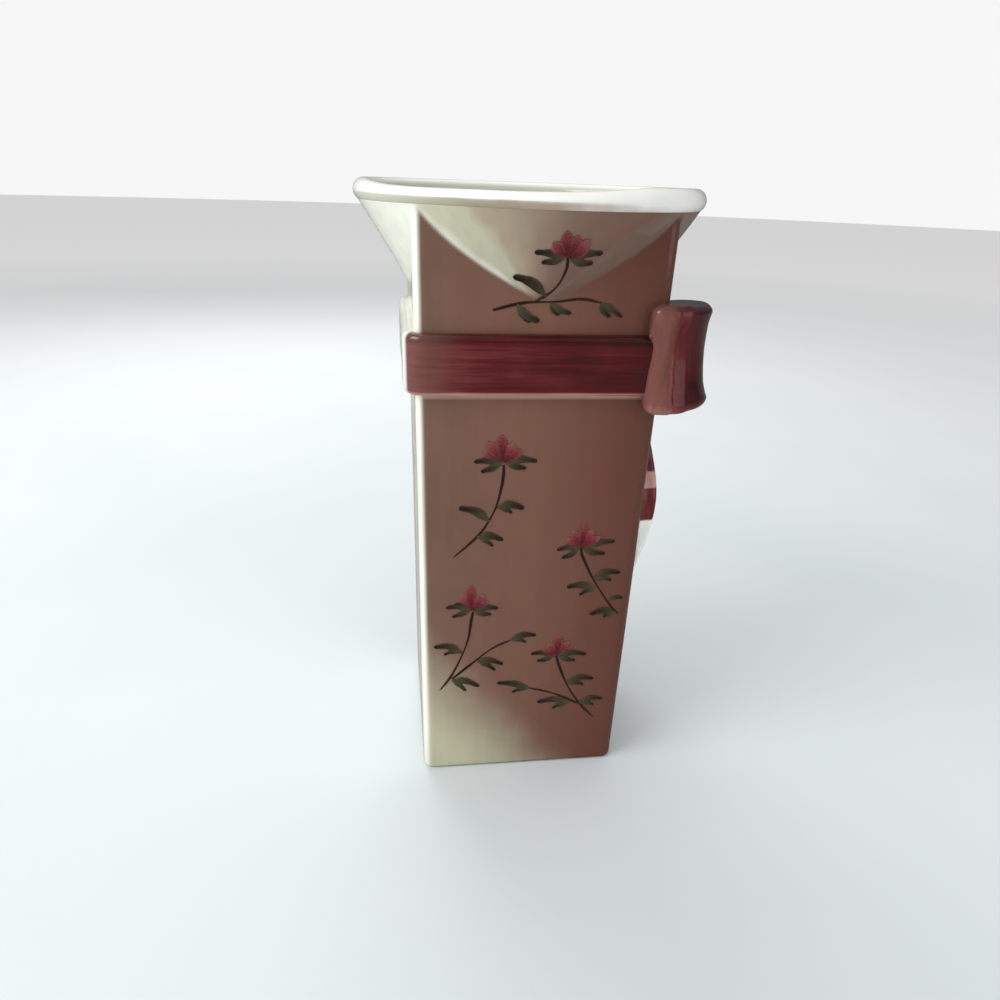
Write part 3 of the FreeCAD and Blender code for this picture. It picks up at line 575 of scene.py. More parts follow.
def vessel_rows():
    """The wall's section from the middle of the underside, up outside, and down inside to the floor."""
    rows = [row(0, FOOT_EDGE_RADIUS, corner=0.6 * MM, shrink=share) for share in (0.0, 0.35, 0.7, 0.9)]
    for number in range(BEND_STEPS + 1):
        angle = number / BEND_STEPS * math.pi / 2
        inset = FOOT_EDGE_RADIUS * (1 - math.sin(angle))
        corner = max(CORNER_RADIUS - inset, 0.6 * MM)
        rows.append(row(FOOT_EDGE_RADIUS * (1 - math.cos(angle)), inset, corner=corner))
    flare_start = SEAT_HEIGHT - FLARE_RISE - 4 * MM
    rows += [row(level) for level in steps_between(FOOT_EDGE_RADIUS, flare_start, 5 * MM)[1:]]
    rows += [row(level) for level in steps_between(flare_start, SEAT_HEIGHT, 0.6 * MM)[1:]]
    inner = {"inset": WALL, "flare_inset": FLARE_WALL, "corner": INNER_CORNER_RADIUS, "inside": 1.0}
    rows += [row(level, **inner) for level in steps_between(SEAT_HEIGHT, flare_start, 1.1 * MM)]
    rows += [row(level, **inner) for level in steps_between(flare_start, BASE_THICKNESS + WALL, 7 * MM)[1:]]
    for number in range(1, 7):
        angle = number / 6 * math.pi / 2
        inset = WALL + WALL * (1 - math.cos(angle))
        level = BASE_THICKNESS + WALL * (1 - math.sin(angle))
        rows.append(row(level, inset, FLARE_WALL, INNER_CORNER_RADIUS, inside=1.0))
    rows += [row(BASE_THICKNESS, 2 * WALL, FLARE_WALL, INNER_CORNER_RADIUS, share, inside=1.0)
             for share in (0.9, 0.6, 0.3, 0.0)]
    return rows


def lip_rows():
    """The bead's circle, with how far each row has rolled from the underside over to the white."""
    rows = []
    middle = FLARE_RADIUS - FLARE_WALL / 2
    for number in range(LIP_STEPS):
        angle = math.radians(-90) + number / LIP_STEPS * 2 * math.pi
        roll = smooth_step(-0.75, 0.45, math.sin(angle) - math.cos(angle) * 0.35)
        inside = smooth_step(0.1, 0.7, -math.cos(angle)) * (1 - smooth_step(0.45, 0.85, math.sin(angle)))
        rows.append(row(LIP_HEIGHT + LIP_RADIUS * math.sin(angle),
                        bead=middle + LIP_RADIUS * math.cos(angle), inside=inside, roll=roll))
    return rows


def band_rows():
    """The ribbon's section, sunk into the wall by half a millimetre, with round outer edges."""
    sunk = -0.5 * MM
    section = [(sunk, BAND_LOW)]
    face = steps_between(BAND_LOW + BAND_EDGE_RADIUS, BAND_HIGH - BAND_EDGE_RADIUS, 2 * MM)[1:-1]
    for low, edge in ((True, BAND_LOW), (False, BAND_HIGH)):
        for number in range(BEND_STEPS + 1):
            angle = number / BEND_STEPS * math.pi / 2
            lean = math.sin(angle) if low else math.cos(angle)
            rise = math.cos(angle) if low else math.sin(angle)
            out = BAND_THICKNESS - BAND_EDGE_RADIUS * (1 - lean)
            height = BAND_EDGE_RADIUS * (1 - rise)
            section.append((out, edge + height if low else edge - height))
        if low:
            section += [(BAND_THICKNESS, level) for level in face]
    section.append((sunk, BAND_HIGH))
    section += [(sunk, level) for level in steps_between(BAND_HIGH, BAND_LOW, 6 * MM)[1:-1]]
    return [row(level, -out, corner=CORNER_RADIUS + out) for out, level in section]


def wall_grid(name, rows, columns, closed):
    """A grid of rows round the square, whose points carry what the tree needs to place them."""
    count = len(columns)
    points = [(place.x, place.y, line["level"]) for line in rows for place, way in columns]
    faces = []
    for low in range(len(rows) if closed else len(rows) - 1):
        high = (low + 1) % len(rows)
        for left in range(count):
            right = (left + 1) % count
            faces.append((low * count + left, low * count + right,
                          high * count + right, high * count + left))
    mesh = bpy.data.meshes.new(name)
    mesh.from_pydata(points, [], faces)
    for label in rows[0]:
        values = [line[label] for line in rows for column in columns]
        mesh.attributes.new(label, "FLOAT", "POINT").data.foreach_set("value", values)
    for label, number in (("place", 0), ("way", 1)):
        values = [axis for line in rows for column in columns for axis in column[number]]
        mesh.attributes.new(label, "FLOAT_VECTOR", "POINT").data.foreach_set("vector", values)
    return new_object(name, mesh)


def half_widths(tree, sizes, level):
    """Half the square's width at a level and at the foot of the flare, and that foot's own level."""
    spread = add(tree, "ShaderNodeMath", {"operation": "SUBTRACT"},
                 {0: sizes["Mouth Width"], 1: sizes["Foot Width"]}).outputs[0]
    spread = add(tree, "ShaderNodeMath", {"operation": "DIVIDE"},
                 {0: spread, 1: sizes["Seat Height"]}).outputs[0]
    foot_of_flare = add(tree, "ShaderNodeMath", {"operation": "SUBTRACT"},
                        {0: sizes["Seat Height"], 1: sizes["Flare Rise"]}).outputs[0]
    halves = []
    for height in (level, foot_of_flare):
        width = add(tree, "ShaderNodeMath", {"operation": "MULTIPLY_ADD"},
                    {0: spread, 1: height, 2: sizes["Foot Width"]}).outputs[0]
        halves.append(add(tree, "ShaderNodeMath", {"operation": "MULTIPLY"}, {0: width, 1: 0.5}).outputs[0])
    return *halves, foot_of_flare


def round_cornered_square(tree, own, half, place, way):
    """Where a point lies on the square with its round corners."""
    side = half
    for taken in (own["inset"], own["corner"]):
        side = add(tree, "ShaderNodeMath", {"operation": "SUBTRACT"}, {0: side, 1: taken}).outputs[0]
    flat = add(tree, "ShaderNodeVectorMath", {"operation": "SCALE"}, {0: place, "Scale": side}).outputs[0]
    arc = add(tree, "ShaderNodeVectorMath", {"operation": "SCALE"},
              {0: way, "Scale": own["corner"]}).outputs[0]
    return add(tree, "ShaderNodeVectorMath", {"operation": "ADD"}, {0: flat, 1: arc}).outputs[0]


def flare_reach(tree, sizes, own, start, foot_of_flare, outward):
    """How far out the leaning cone over the nearest face lies in a direction. The cone's circle moves
    and grows from the tip on the face to the rim, and low down it is drawn out sideways, which bows
    the creases that run up to the corners."""
    share = add(tree, "ShaderNodeMapRange", None,
                {"Value": own["level"], "From Min": foot_of_flare,
                 "From Max": sizes["Seat Height"]}).outputs[0]
    tip = start
    for taken in (sizes["Tip Depth"], own["inset"]):
        tip = add(tree, "ShaderNodeMath", {"operation": "SUBTRACT"}, {0: tip, 1: taken}).outputs[0]
    middle = add(tree, "ShaderNodeMapRange", None, {"Value": share, "To Min": tip, "To Max": 0.0}).outputs[0]
    rim = add(tree, "ShaderNodeMath", {"operation": "SUBTRACT"},
              {0: sizes["Flare Radius"], 1: own["flare_inset"]}).outputs[0]
    reach = add(tree, "ShaderNodeMapRange", None,
                {"Value": share, "To Min": sizes["Tip Radius"], "To Max": rim}).outputs[0]
    widen = add(tree, "ShaderNodeMapRange", None,
                {"Value": share, "To Min": sizes["Crease Bow"], "To Max": 1.0}).outputs[0]
    level_way = add(tree, "ShaderNodeVectorMath", {"operation": "ABSOLUTE"}, {0: outward}).outputs[0]
    level_way = add(tree, "ShaderNodeSeparateXYZ", None, {0: level_way}).outputs
    ahead, aside = [add(tree, "ShaderNodeMath", {"operation": kind},
                        {0: level_way["X"], 1: level_way["Y"]}).outputs[0] for kind in ("MAXIMUM", "MINIMUM")]
    # the way out meets the circle where a quadratic has its greater root
    aside = add(tree, "ShaderNodeMath", {"operation": "DIVIDE"}, {0: aside, 1: widen}).outputs[0]
    aside = add(tree, "ShaderNodeMath", {"operation": "MULTIPLY"}, {0: aside, 1: aside}).outputs[0]
    spin = add(tree, "ShaderNodeMath", {"operation": "MULTIPLY_ADD"},
               {0: ahead, 1: ahead, 2: aside}).outputs[0]
    ahead = add(tree, "ShaderNodeMath", {"operation": "MULTIPLY"}, {0: ahead, 1: middle}).outputs[0]
    beyond = add(tree, "ShaderNodeMath", {"operation": "MULTIPLY"}, {0: middle, 1: middle}).outputs[0]
    gain = reach
    for operation, other in (("MULTIPLY", reach), ("SUBTRACT", beyond), ("MULTIPLY", spin)):
        gain = add(tree, "ShaderNodeMath", {"operation": operation}, {0: gain, 1: other}).outputs[0]
    chord = add(tree, "ShaderNodeMath", {"operation": "MULTIPLY_ADD"},
                {0: ahead, 1: ahead, 2: gain}).outputs[0]
    chord = add(tree, "ShaderNodeMath", {"operation": "MAXIMUM"}, {0: chord, 1: 0.0}).outputs[0]
    cone = add(tree, "ShaderNodeMath", {"operation": "SQRT"}, {0: chord}).outputs[0]
    above = add(tree, "ShaderNodeMath", {"operation": "GREATER_THAN"}, {0: share, 1: 0.0}).outputs[0]
    for operation, other in (("ADD", ahead), ("DIVIDE", spin), ("MULTIPLY", above)):
        cone = add(tree, "ShaderNodeMath", {"operation": operation}, {0: cone, 1: other}).outputs[0]
    return cone


def hand_rolled_height(tree, sizes, own, outward):
    """The level of a point, with the top of the lip flatter at the front left, as on a hand-rolled one."""
    slack = add(tree, "ShaderNodeVectorMath", {"operation": "DOT_PRODUCT"},
                {0: outward, 1: SLACK_SIDE}).outputs["Value"]
    slack = add(tree, "ShaderNodeMapRange", {"interpolation_type": "SMOOTHSTEP"},
                {"Value": slack, "From Min": 0.45, "From Max": 1.0}).outputs[0]
    for share in (own["roll"], sizes["Lip Sag"]):
        slack = add(tree, "ShaderNodeMath", {"operation": "MULTIPLY"}, {0: slack, 1: share}).outputs[0]
    return add(tree, "ShaderNodeMath", {"operation": "SUBTRACT"}, {0: own["level"], 1: slack}).outputs[0]


def bored_through(tree, sizes, wall):
    """The wall with the hanging hole bored through its -X side."""
    centre = add(tree, "ShaderNodeCombineXYZ", None,
                 {"X": -FOOT_WIDTH / 2, "Z": sizes["Hole Height"]}).outputs[0]
    bore = add(tree, "GeometryNodeMeshCylinder", None,
               {"Vertices": 48, "Radius": sizes["Hole Radius"], "Depth": BORE_LENGTH}).outputs[0]
    bore = add(tree, "GeometryNodeTransform", None,
               {"Geometry": bore, "Translation": centre, "Rotation": (0, math.pi / 2, 0)}).outputs[0]
    return add(tree, "GeometryNodeMeshBoolean", {"operation": "DIFFERENCE", "solver": "EXACT"},
               {"Mesh 1": wall, "Mesh 2": bore}).outputs[0]


def make_wall_tree():
    """Geometry tree of the vessel's rule: a tapering square with round corners, which a leaning cone
    on each face widens to a round mouth. Rows on the lip's bead only take its radius."""
    tree, sizes, result = new_tree("Square wall that opens into a round mouth", [
        ("Foot Width", "NodeSocketFloat", FOOT_WIDTH), ("Mouth Width", "NodeSocketFloat", MOUTH_WIDTH),
        ("Seat Height", "NodeSocketFloat", SEAT_HEIGHT), ("Flare Radius", "NodeSocketFloat", FLARE_RADIUS),
        ("Flare Rise", "NodeSocketFloat", FLARE_RISE), ("Tip Radius", "NodeSocketFloat", FLARE_TIP_RADIUS),
        ("Tip Depth", "NodeSocketFloat", FLARE_TIP_DEPTH), ("Glaze Softness", "NodeSocketFloat", 1.0 * MM),
        ("Crease Bow", "NodeSocketFloat", 1.45), ("Lip Sag", "NodeSocketFloat", 2.6 * MM),
        ("Unevenness", "NodeSocketFloat", 0.35 * MM), ("Hole Radius", "NodeSocketFloat", HOLE_RADIUS),
        ("Hole Height", "NodeSocketFloat", HOLE_HEIGHT), ("Glaze", "NodeSocketMaterial", None)])
    own = {label: add(tree, "GeometryNodeInputNamedAttribute", {"data_type": "FLOAT"},
                      {"Name": label}).outputs[0] for label in row(0)}
    place, way = [add(tree, "GeometryNodeInputNamedAttribute", {"data_type": "FLOAT_VECTOR"},
                      {"Name": label}).outputs[0] for label in ("place", "way")]
    half, start, foot_of_flare = half_widths(tree, sizes, own["level"])
    square = round_cornered_square(tree, own, half, place, way)
    distance = add(tree, "ShaderNodeVectorMath", {"operation": "LENGTH"}, {0: square}).outputs["Value"]
    outward = add(tree, "ShaderNodeVectorMath", {"operation": "NORMALIZE"}, {0: square}).outputs[0]
    cone = flare_reach(tree, sizes, own, start, foot_of_flare, outward)
    # whichever reaches further, softened where they meet, or the lip's bead
    radius = add(tree, "ShaderNodeMath", {"operation": "SMOOTH_MAX"},
                 {0: distance, 1: cone, 2: sizes["Glaze Softness"]}).outputs[0]
    on_bead = add(tree, "ShaderNodeMath", {"operation": "GREATER_THAN"},
                  {0: own["bead"], 1: 0.0}).outputs[0]
    radius = add(tree, "ShaderNodeMix", {"data_type": "FLOAT"},
                 {0: on_bead, 2: radius, 3: own["bead"]}).outputs[0]
    ring = add(tree, "ShaderNodeVectorMath", {"operation": "SCALE"},
               {0: outward, "Scale": radius}).outputs[0]
    lift = add(tree, "ShaderNodeCombineXYZ", None,
               {"Z": hand_rolled_height(tree, sizes, own, outward)}).outputs[0]
    spot = add(tree, "ShaderNodeVectorMath", {"operation": "ADD"}, {0: ring, 1: lift}).outputs[0]
    # hand-built walls wave by a third of a millimetre, always inwards
    waves = add(tree, "ShaderNodeTexNoise", None,
                {"Vector": spot, "Scale": 26.0, "Detail": 1.0}).outputs["Fac"]
    dent = add(tree, "ShaderNodeMath", {"operation": "MULTIPLY"},
               {0: waves, 1: sizes["Unevenness"]}).outputs[0]
    radius = add(tree, "ShaderNodeMath", {"operation": "SUBTRACT"}, {0: radius, 1: dent}).outputs[0]
    radius = add(tree, "ShaderNodeMath", {"operation": "MULTIPLY"}, {0: radius, 1: own["shrink"]}).outputs[0]
    ring = add(tree, "ShaderNodeVectorMath", {"operation": "SCALE"},
               {0: outward, "Scale": radius}).outputs[0]
    spot = add(tree, "ShaderNodeVectorMath", {"operation": "ADD"}, {0: ring, 1: lift}).outputs[0]
    wall = add(tree, "GeometryNodeSetPosition", None,
               {"Geometry": sizes["Geometry"], "Position": spot}).outputs[0]
    # what the glaze reads: on the cone or not, and how far the wall faces -X
    lead = add(tree, "ShaderNodeMath", {"operation": "SUBTRACT"}, {0: cone, 1: distance}).outputs[0]
    lead = add(tree, "ShaderNodeMapRange", None,
               {"Value": lead, "From Min": -0.7 * MM, "From Max": 1.0 * MM}).outputs[0]
    turned = add(tree, "ShaderNodeSeparateXYZ", None, {0: way}).outputs["X"]
    turned = add(tree, "ShaderNodeMath", {"operation": "MULTIPLY"}, {0: turned, 1: -1.0}).outputs[0]
    for label, number in (("flare", lead), ("side", turned)):
        wall = add(tree, "GeometryNodeStoreNamedAttribute", {"data_type": "FLOAT", "domain": "POINT"},
                   {"Geometry": wall, "Name": label, "Value": number}).outputs[0]
    wall = add(tree, "GeometryNodeMergeByDistance", None,
               {"Geometry": wall, "Distance": 0.01 * MM}).outputs[0]
    end_shape(tree, bored_through(tree, sizes, wall), sizes["Glaze"], result)
    return tree


# The modelled bow


def tail_middle(height):
    """The ribbon end's middle line and half width at a height, out from the bow's middle."""
    down = min(max((BOW_MIDDLE - height) / TAIL_LENGTH, 0.0), 1.0)
    shares = [share for share, sweep in TAIL_PATH_SHARES]
    step = min(max(bisect.bisect_right(shares, down) - 1, 0), len(shares) - 2)
    low, high = TAIL_PATH_SHARES[step], TAIL_PATH_SHARES[step + 1]
    sweep = low[1] + (high[1] - low[1]) * smooth_step(low[0], high[0], down)
    half = (TAIL_NECK + (TAIL_WIDTH - TAIL_NECK) * math.sqrt(down)) / 2
    return TAIL_NECK / 2 + TAIL_SWEEP * sweep, half


def loop_fold(point, normal):
    """Creases that run out of the knot over a loop, and the light and shade painted into its colour."""
    across, up = abs(point.y), point.z - BOW_MIDDLE
    angle = math.atan2(up, across - 4 * MM)
    near = 1 - smooth_step(14 * MM, 50 * MM, across)
    folds = sum(math.exp(-((angle - middle) / spread) ** 2) * depth for middle, spread, depth in LOOP_FOLDS)
    front = max(normal.x, 0.0)
    sag = 0.5 * MM * smooth_step(25 * MM, 50 * MM, across) * math.sin(up / (9 * MM) + across / (14 * MM))
    rim = smooth_step(16 * MM, 20.5 * MM, -up)
    face_side = 1 - smooth_step(-2 * MM, 16 * MM, point.x - BOW_FACE)
    # the top is crowned, as the roll of a folded strip is
    crown = 1.1 * MM * max(normal.z, 0.0) * ((point.x - BOW_FACE - 10 * MM) / (12 * MM)) ** 2
    # painted light near the face and along the bottom edge, and painted shade on the top
    tone_and_light = 0.17 * face_side + 0.12 * rim - 0.08 - 0.2 * max(normal.z, 0.0)
    return -FOLD_DEPTH * folds * near * front - abs(sag) * front - min(crown, CROWN_MOST), tone_and_light, 0.0


def knot_fold(point, normal):
    """Gathers that run up and down over the knot."""
    gathers = sum(math.exp(-((point.y - middle) / GATHER_WIDTH) ** 2) for middle in KNOT_GATHERS)
    return -GATHER_DEPTH * gathers * max(normal.x, 0.0), -0.04, 0.0


def tail_fold(point, normal):
    """A shallow channel down the ribbon end, a painted highlight across it, and the notch where its colour
    stops.
    """
    middle, half = tail_middle(point.z)
    across = min(abs(abs(point.y) - middle) / half, 1.0)
    notch = NOTCH_HEIGHT - NOTCH_DEPTH * across
    bare = 1 - smooth_step(notch - NOTCH_BLUR, notch + NOTCH_BLUR, point.z)
    # a painted highlight across the ribbon end where it crests
    turn = between(HIGHLIGHT_HEIGHTS, point.z)
    channel = math.exp(-(across / 0.35) ** 2) * (1 - bare)
    return -CHANNEL_DEPTH * channel * max(normal.x, 0.0), 0.04 + 0.5 * turn, bare


def sink(point):
    """Presses a point that touches the wall or the ribbon into it, as wet clay is pressed on, and
    lifts the lap round the corner so that its edge stands a millimetre proud. Over the ribbon's
    upper edge the lap reaches further, so that its outline runs straight down."""
    wall = wall_at(point.z)
    if abs(point.y) > wall + LAP_CLEAR:
        fade = 1 - smooth_step(*LAP_REACH_FADE, point.x)
        point.x -= LAP_REACH * between(LAP_REACH_HEIGHTS, point.z) * fade
    reach = wall + (BAND_THICKNESS if BAND_LOW < point.z < BAND_HIGH else 0.0) + SKIN_GAP
    if max(point.x, abs(point.y)) < reach:
        if point.x > SEAM_START:
            point.x -= PRESSED_IN
        if abs(point.y) > SEAM_START:
            point.y -= math.copysign(PRESSED_IN, point.y)
    elif point.x < LAP_END:
        point.y += math.copysign(LAP_LIFT, point.y)


def modelled_piece(node, fold, glaze, voxel):
    """A copy of a CAD solid as one soft skin, with its folds pressed in, seated in the wall."""
    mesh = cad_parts[node].data.copy()
    mesh.materials.clear()
    solid = bmesh.new()
    solid.from_mesh(mesh)
    bmesh.ops.remove_doubles(solid, verts=solid.verts, dist=0.001 * MM)
    for vertex in solid.verts:
        sink(vertex.co)
    solid.to_mesh(mesh)
    solid.free()
    piece = new_object(node + "_soft", mesh)
    remesh = piece.modifiers.new("Skin", "REMESH")
    remesh.mode = "VOXEL"
    remesh.voxel_size = voxel
    soften = piece.modifiers.new("Soften", "SMOOTH")
    soften.factor = 0.5
    soften.iterations = 5
    piece = plain_mesh(piece, node + "_modelled")
    mesh = piece.data
    normals = [vertex.normal.copy() for vertex in mesh.vertices]
    thin, bare = [], []
    for vertex, normal in zip(mesh.vertices, normals):
        point = vertex.co
        move, tone_and_light, bareness = fold(point, normal)
        # the folds fade out at the wall, and the lap round the corner swells
        clear = smooth_step(*FOLD_FADE, point.x - wall_at(point.z))
        lap = smooth_step(*LAP_SWELL_START, abs(point.y)) * (1 - smooth_step(*LAP_SWELL_FADE, point.x))
        vertex.co = point + normal * (move * clear + LAP_SWELL * lap)
        thin.append(tone_and_light)
        bare.append(bareness)
    for label, values in (("thin", thin), ("bare", bare)):
        mesh.attributes.new(label, "FLOAT", "POINT").data.foreach_set("value", values)
    mesh.materials.append(glaze)
    mesh.shade_smooth()
    return piece


def wall_at(height):
    """Half the width of the square vessel at a height."""
    return (FOOT_WIDTH + (MOUTH_WIDTH - FOOT_WIDTH) * height / SEAT_HEIGHT) / 2


# The painted sprigs


def make_stroke_tree():
    """Geometry tree of one colour's brush strokes: each flat curve becomes a low rounded ridge,
    is turned to its face of the vessel, and is laid on the glaze."""
    tree, sizes, result = new_tree("Brush strokes laid on a face", [
        ("Vessel", "NodeSocketObject", None), ("Points", "NodeSocketInt", STROKE_POINTS),
        ("Lay", "NodeSocketFloat", 0.14), ("Face Turn", "NodeSocketFloat", 0.0),
        ("Enamel", "NodeSocketMaterial", None)])
    stroke = add(tree, "GeometryNodeResampleCurve", {"mode": "COUNT"},
                 {"Curve": sizes["Geometry"], "Count": sizes["Points"]}).outputs[0]
    stroke = add(tree, "GeometryNodeSetCurveNormal", {"mode": "Z_UP"}, {"Curve": stroke}).outputs[0]
    along = add(tree, "GeometryNodeSplineParameter").outputs["Factor"]
    stroke = add(tree, "GeometryNodeStoreNamedAttribute", {"data_type": "FLOAT", "domain": "POINT"},
                 {"Geometry": stroke, "Name": "along", "Value": along}).outputs[0]
    chance = add(tree, "FunctionNodeRandomValue", {"data_type": "FLOAT"}, {"Seed": 7}).outputs[1]
    stroke = add(tree, "GeometryNodeStoreNamedAttribute", {"data_type": "FLOAT", "domain": "CURVE"},
                 {"Geometry": stroke, "Name": "tone", "Value": chance}).outputs[0]
    ring = add(tree, "GeometryNodeCurvePrimitiveCircle", None, {"Resolution": 12, "Radius": 1.0}).outputs[0]
    spot = add(tree, "GeometryNodeInputPosition").outputs[0]
    flat = add(tree, "ShaderNodeSeparateXYZ", None, {0: spot}).outputs
    aside = add(tree, "ShaderNodeMath", {"operation": "ABSOLUTE"}, {0: flat["X"]}).outputs[0]
    ring = add(tree, "GeometryNodeStoreNamedAttribute", {"data_type": "FLOAT", "domain": "POINT"},
               {"Geometry": ring, "Name": "edge", "Value": aside}).outputs[0]
    flatten = add(tree, "ShaderNodeCombineXYZ", None, {"X": 1.0, "Y": sizes["Lay"], "Z": 1.0}).outputs[0]
    ring = add(tree, "GeometryNodeTransform", None, {"Geometry": ring, "Scale": flatten}).outputs[0]
    thickness = add(tree, "GeometryNodeInputRadius").outputs[0]
    ridge = add(tree, "GeometryNodeCurveToMesh", None,
                {"Curve": stroke, "Profile Curve": ring, "Scale": thickness, "Fill Caps": True}).outputs[0]
    # stand the flat drawing up in front of its face: x stays across, y becomes up, z becomes outwards
    upright = add(tree, "ShaderNodeCombineXYZ", None,
                  {"X": flat["X"], "Y": -STAND_OFF, "Z": flat["Y"]}).outputs[0]
    turned = add(tree, "ShaderNodeVectorRotate", {"rotation_type": "Z_AXIS"},
                 {"Vector": upright, "Angle": sizes["Face Turn"]}).outputs[0]
    inward = add(tree, "ShaderNodeVectorRotate", {"rotation_type": "Z_AXIS"},
                 {"Vector": (0.0, 1.0, 0.0), "Angle": sizes["Face Turn"]}).outputs[0]
    vessel = add(tree, "GeometryNodeObjectInfo", None, {"Object": sizes["Vessel"]}).outputs["Geometry"]
    hit = add(tree, "GeometryNodeRaycast", None,
              {"Target Geometry": vessel, "Source Position": turned, "Ray Direction": inward,
               "Ray Length": 2 * STAND_OFF}).outputs
    rise = add(tree, "ShaderNodeVectorMath", {"operation": "SCALE"},
               {0: hit["Hit Normal"], "Scale": flat["Z"]}).outputs[0]
    laid = add(tree, "ShaderNodeVectorMath", {"operation": "ADD"},
               {0: hit["Hit Position"], 1: rise}).outputs[0]
    ridge = add(tree, "GeometryNodeSetPosition", None, {"Geometry": ridge, "Position": laid}).outputs[0]
    end_shape(tree, ridge, sizes["Enamel"], result)
    return tree


def brush_width(kind, share):
    """Half width of a stroke along its length, as a share of its widest."""
    if kind == "stem":
        return 0.75 + 0.25 * math.sin(9 * share) - 0.45 * smooth_step(0.85, 1.0, share)
    if kind == "leaf":
        belly = 0.25 + 0.75 * smooth_step(0.0, 0.35, share) - 0.36 * smooth_step(0.45, 0.85, share)
        return belly - 0.34 * smooth_step(0.93, 1.0, share)
    belly = 0.30 + 0.70 * math.sin(math.pi * min(share, 1.0) ** 1.15) ** 0.9
    return belly - 0.22 * smooth_step(0.8, 1.0, share)


def smooth_path(points, count):
    """Points along a soft curve through the given ones."""
    ends = [points[0] * 2 - points[1]] + points + [points[-1] * 2 - points[-2]]
    path = []
    for number in range(count):
        place = number / (count - 1) * (len(points) - 1)
        step = min(int(place), len(points) - 2)
        t = place - step
        a, b, c, d = ends[step:step + 4]
        path.append((b * 2 + (c - a) * t + (a * 2 - b * 5 + c * 4 - d) * t * t
                     + (b * 3 - a - c * 3 + d) * t * t * t) / 2)
    return path


def draw_strokes(name, placed, kind):
    """A flat curve object, one spline to a stroke, its lift a little higher for each that overlaps."""
    curve = bpy.data.curves.new(name, "CURVE")
    curve.dimensions = "3D"
    for sprig, turn, shift_x, shift_z in placed:
        strokes = [stroke for stroke in SPRIGS[sprig] if stroke[0] == kind]
        for layer, (_, width, points) in enumerate(strokes):
            lift = (FIRST_LIFT + LIFT_STEP * (layer % 6)) * MM
            path = smooth_path([Vector(((x * turn + shift_x) * MM, (z + shift_z) * MM, lift))
                                for x, z in points], STROKE_POINTS)
            spline = curve.splines.new("POLY")
            spline.points.add(len(path) - 1)
            for number, (spot, point) in enumerate(zip(path, spline.points)):
                share = number / (len(path) - 1)
                wobble = 1 + BRUSH_WOBBLE * noise.noise(spot * 400)
                point.co = (*spot, 1)
                point.radius = max(width * brush_width(kind, share) * wobble, THINNEST) * MM
    return new_object(name, curve)


# Build


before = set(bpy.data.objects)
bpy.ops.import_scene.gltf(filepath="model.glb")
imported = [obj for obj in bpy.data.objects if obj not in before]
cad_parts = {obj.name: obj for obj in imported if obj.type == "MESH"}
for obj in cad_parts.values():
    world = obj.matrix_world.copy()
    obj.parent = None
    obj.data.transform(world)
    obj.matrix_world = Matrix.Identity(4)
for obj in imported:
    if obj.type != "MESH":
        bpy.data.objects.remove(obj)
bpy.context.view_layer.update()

vessel_glaze = make_vessel_glaze()
rim_glaze = make_rim_glaze()
band_glaze = make_ribbon_glaze("iron_red_ribbon_glaze_with_painted_light_and_shade", (28.0, 28.0, 620.0),
                               -MOUTH_WIDTH / 2, MOUTH_WIDTH / 2)
bow_glaze = make_ribbon_glaze("iron_red_bow_glaze_with_painted_light_and_shade", (260.0, 420.0, 45.0), 46 * MM, 68 * MM)
petal_enamel = make_enamel("rose_petal_enamel", [
    (0.0, "#40060C"), (1.0, "#86504A"), (0.35, "#5E131B"), (0.7, "#782A32")], "#7C4A42", 0.0)
leaf_enamel = make_enamel("olive_leaf_enamel", [
    (0.0, "#4A4A30"), (1.0, "#160C06"), (0.4, "#3C3822"), (0.75, "#261C10")], "#4A3A28", 0.4)
stem_enamel = make_enamel("brown_stem_enamel", [
    (0.0, "#241208"), (1.0, "#3A2216"), (0.4, "#1C0C05"), (0.75, "#2A160C")], "#3A2418", 0.8)

wall_tree = make_wall_tree()
columns = around_square(FLAT_STEPS, CORNER_STEPS)
vessel = node_piece(wall_grid("vessel_grid", vessel_rows(), columns, False), "glazed_vessel", wall_tree,
                    {"Glaze": vessel_glaze})
lip = node_piece(wall_grid("lip_grid", lip_rows(), columns, True), "glazed_lip", wall_tree,
                 {"Glaze": rim_glaze})
band = node_piece(wall_grid("band_grid", band_rows(), columns, True), "glazed_ribbon", wall_tree,
                  {"Glaze": band_glaze, "Unevenness": 0.5 * MM})

# a painted highlight along the ribbon's bottom edge, and painted shade near its top edge
painted_edge_light_and_shade = [0.50 * (1 - smooth_step(1.0 * MM, 2.4 * MM, vertex.co.z - BAND_LOW))
             - 0.14 * smooth_step(BAND_HIGH - 5 * MM, BAND_HIGH - 2 * MM, vertex.co.z)
             for vertex in band.data.vertices]
# white over the ribbon's -X side and round the hanging hole: a painted reflection of glare
white_over_side_and_hole = [1.0 if vertex.co.x < -46 * MM and abs(vertex.co.y) < 20 * MM
             else smooth_step(0.8, 0.95, turned.value)
             for vertex, turned in zip(band.data.vertices, band.data.attributes["side"].data)]
for label, values in (("thin", painted_edge_light_and_shade), ("bare", white_over_side_and_hole)):
    band.data.attributes.new(label, "FLOAT", "POINT").data.foreach_set("value", values)

loops = [modelled_piece(node, loop_fold, bow_glaze, LOOP_VOXEL) for node in LOOP_NODES]
knot = modelled_piece("bow_knot", knot_fold, bow_glaze, BOW_VOXEL)
tails = [modelled_piece(node, tail_fold, bow_glaze, BOW_VOXEL) for node in TAIL_NODES]

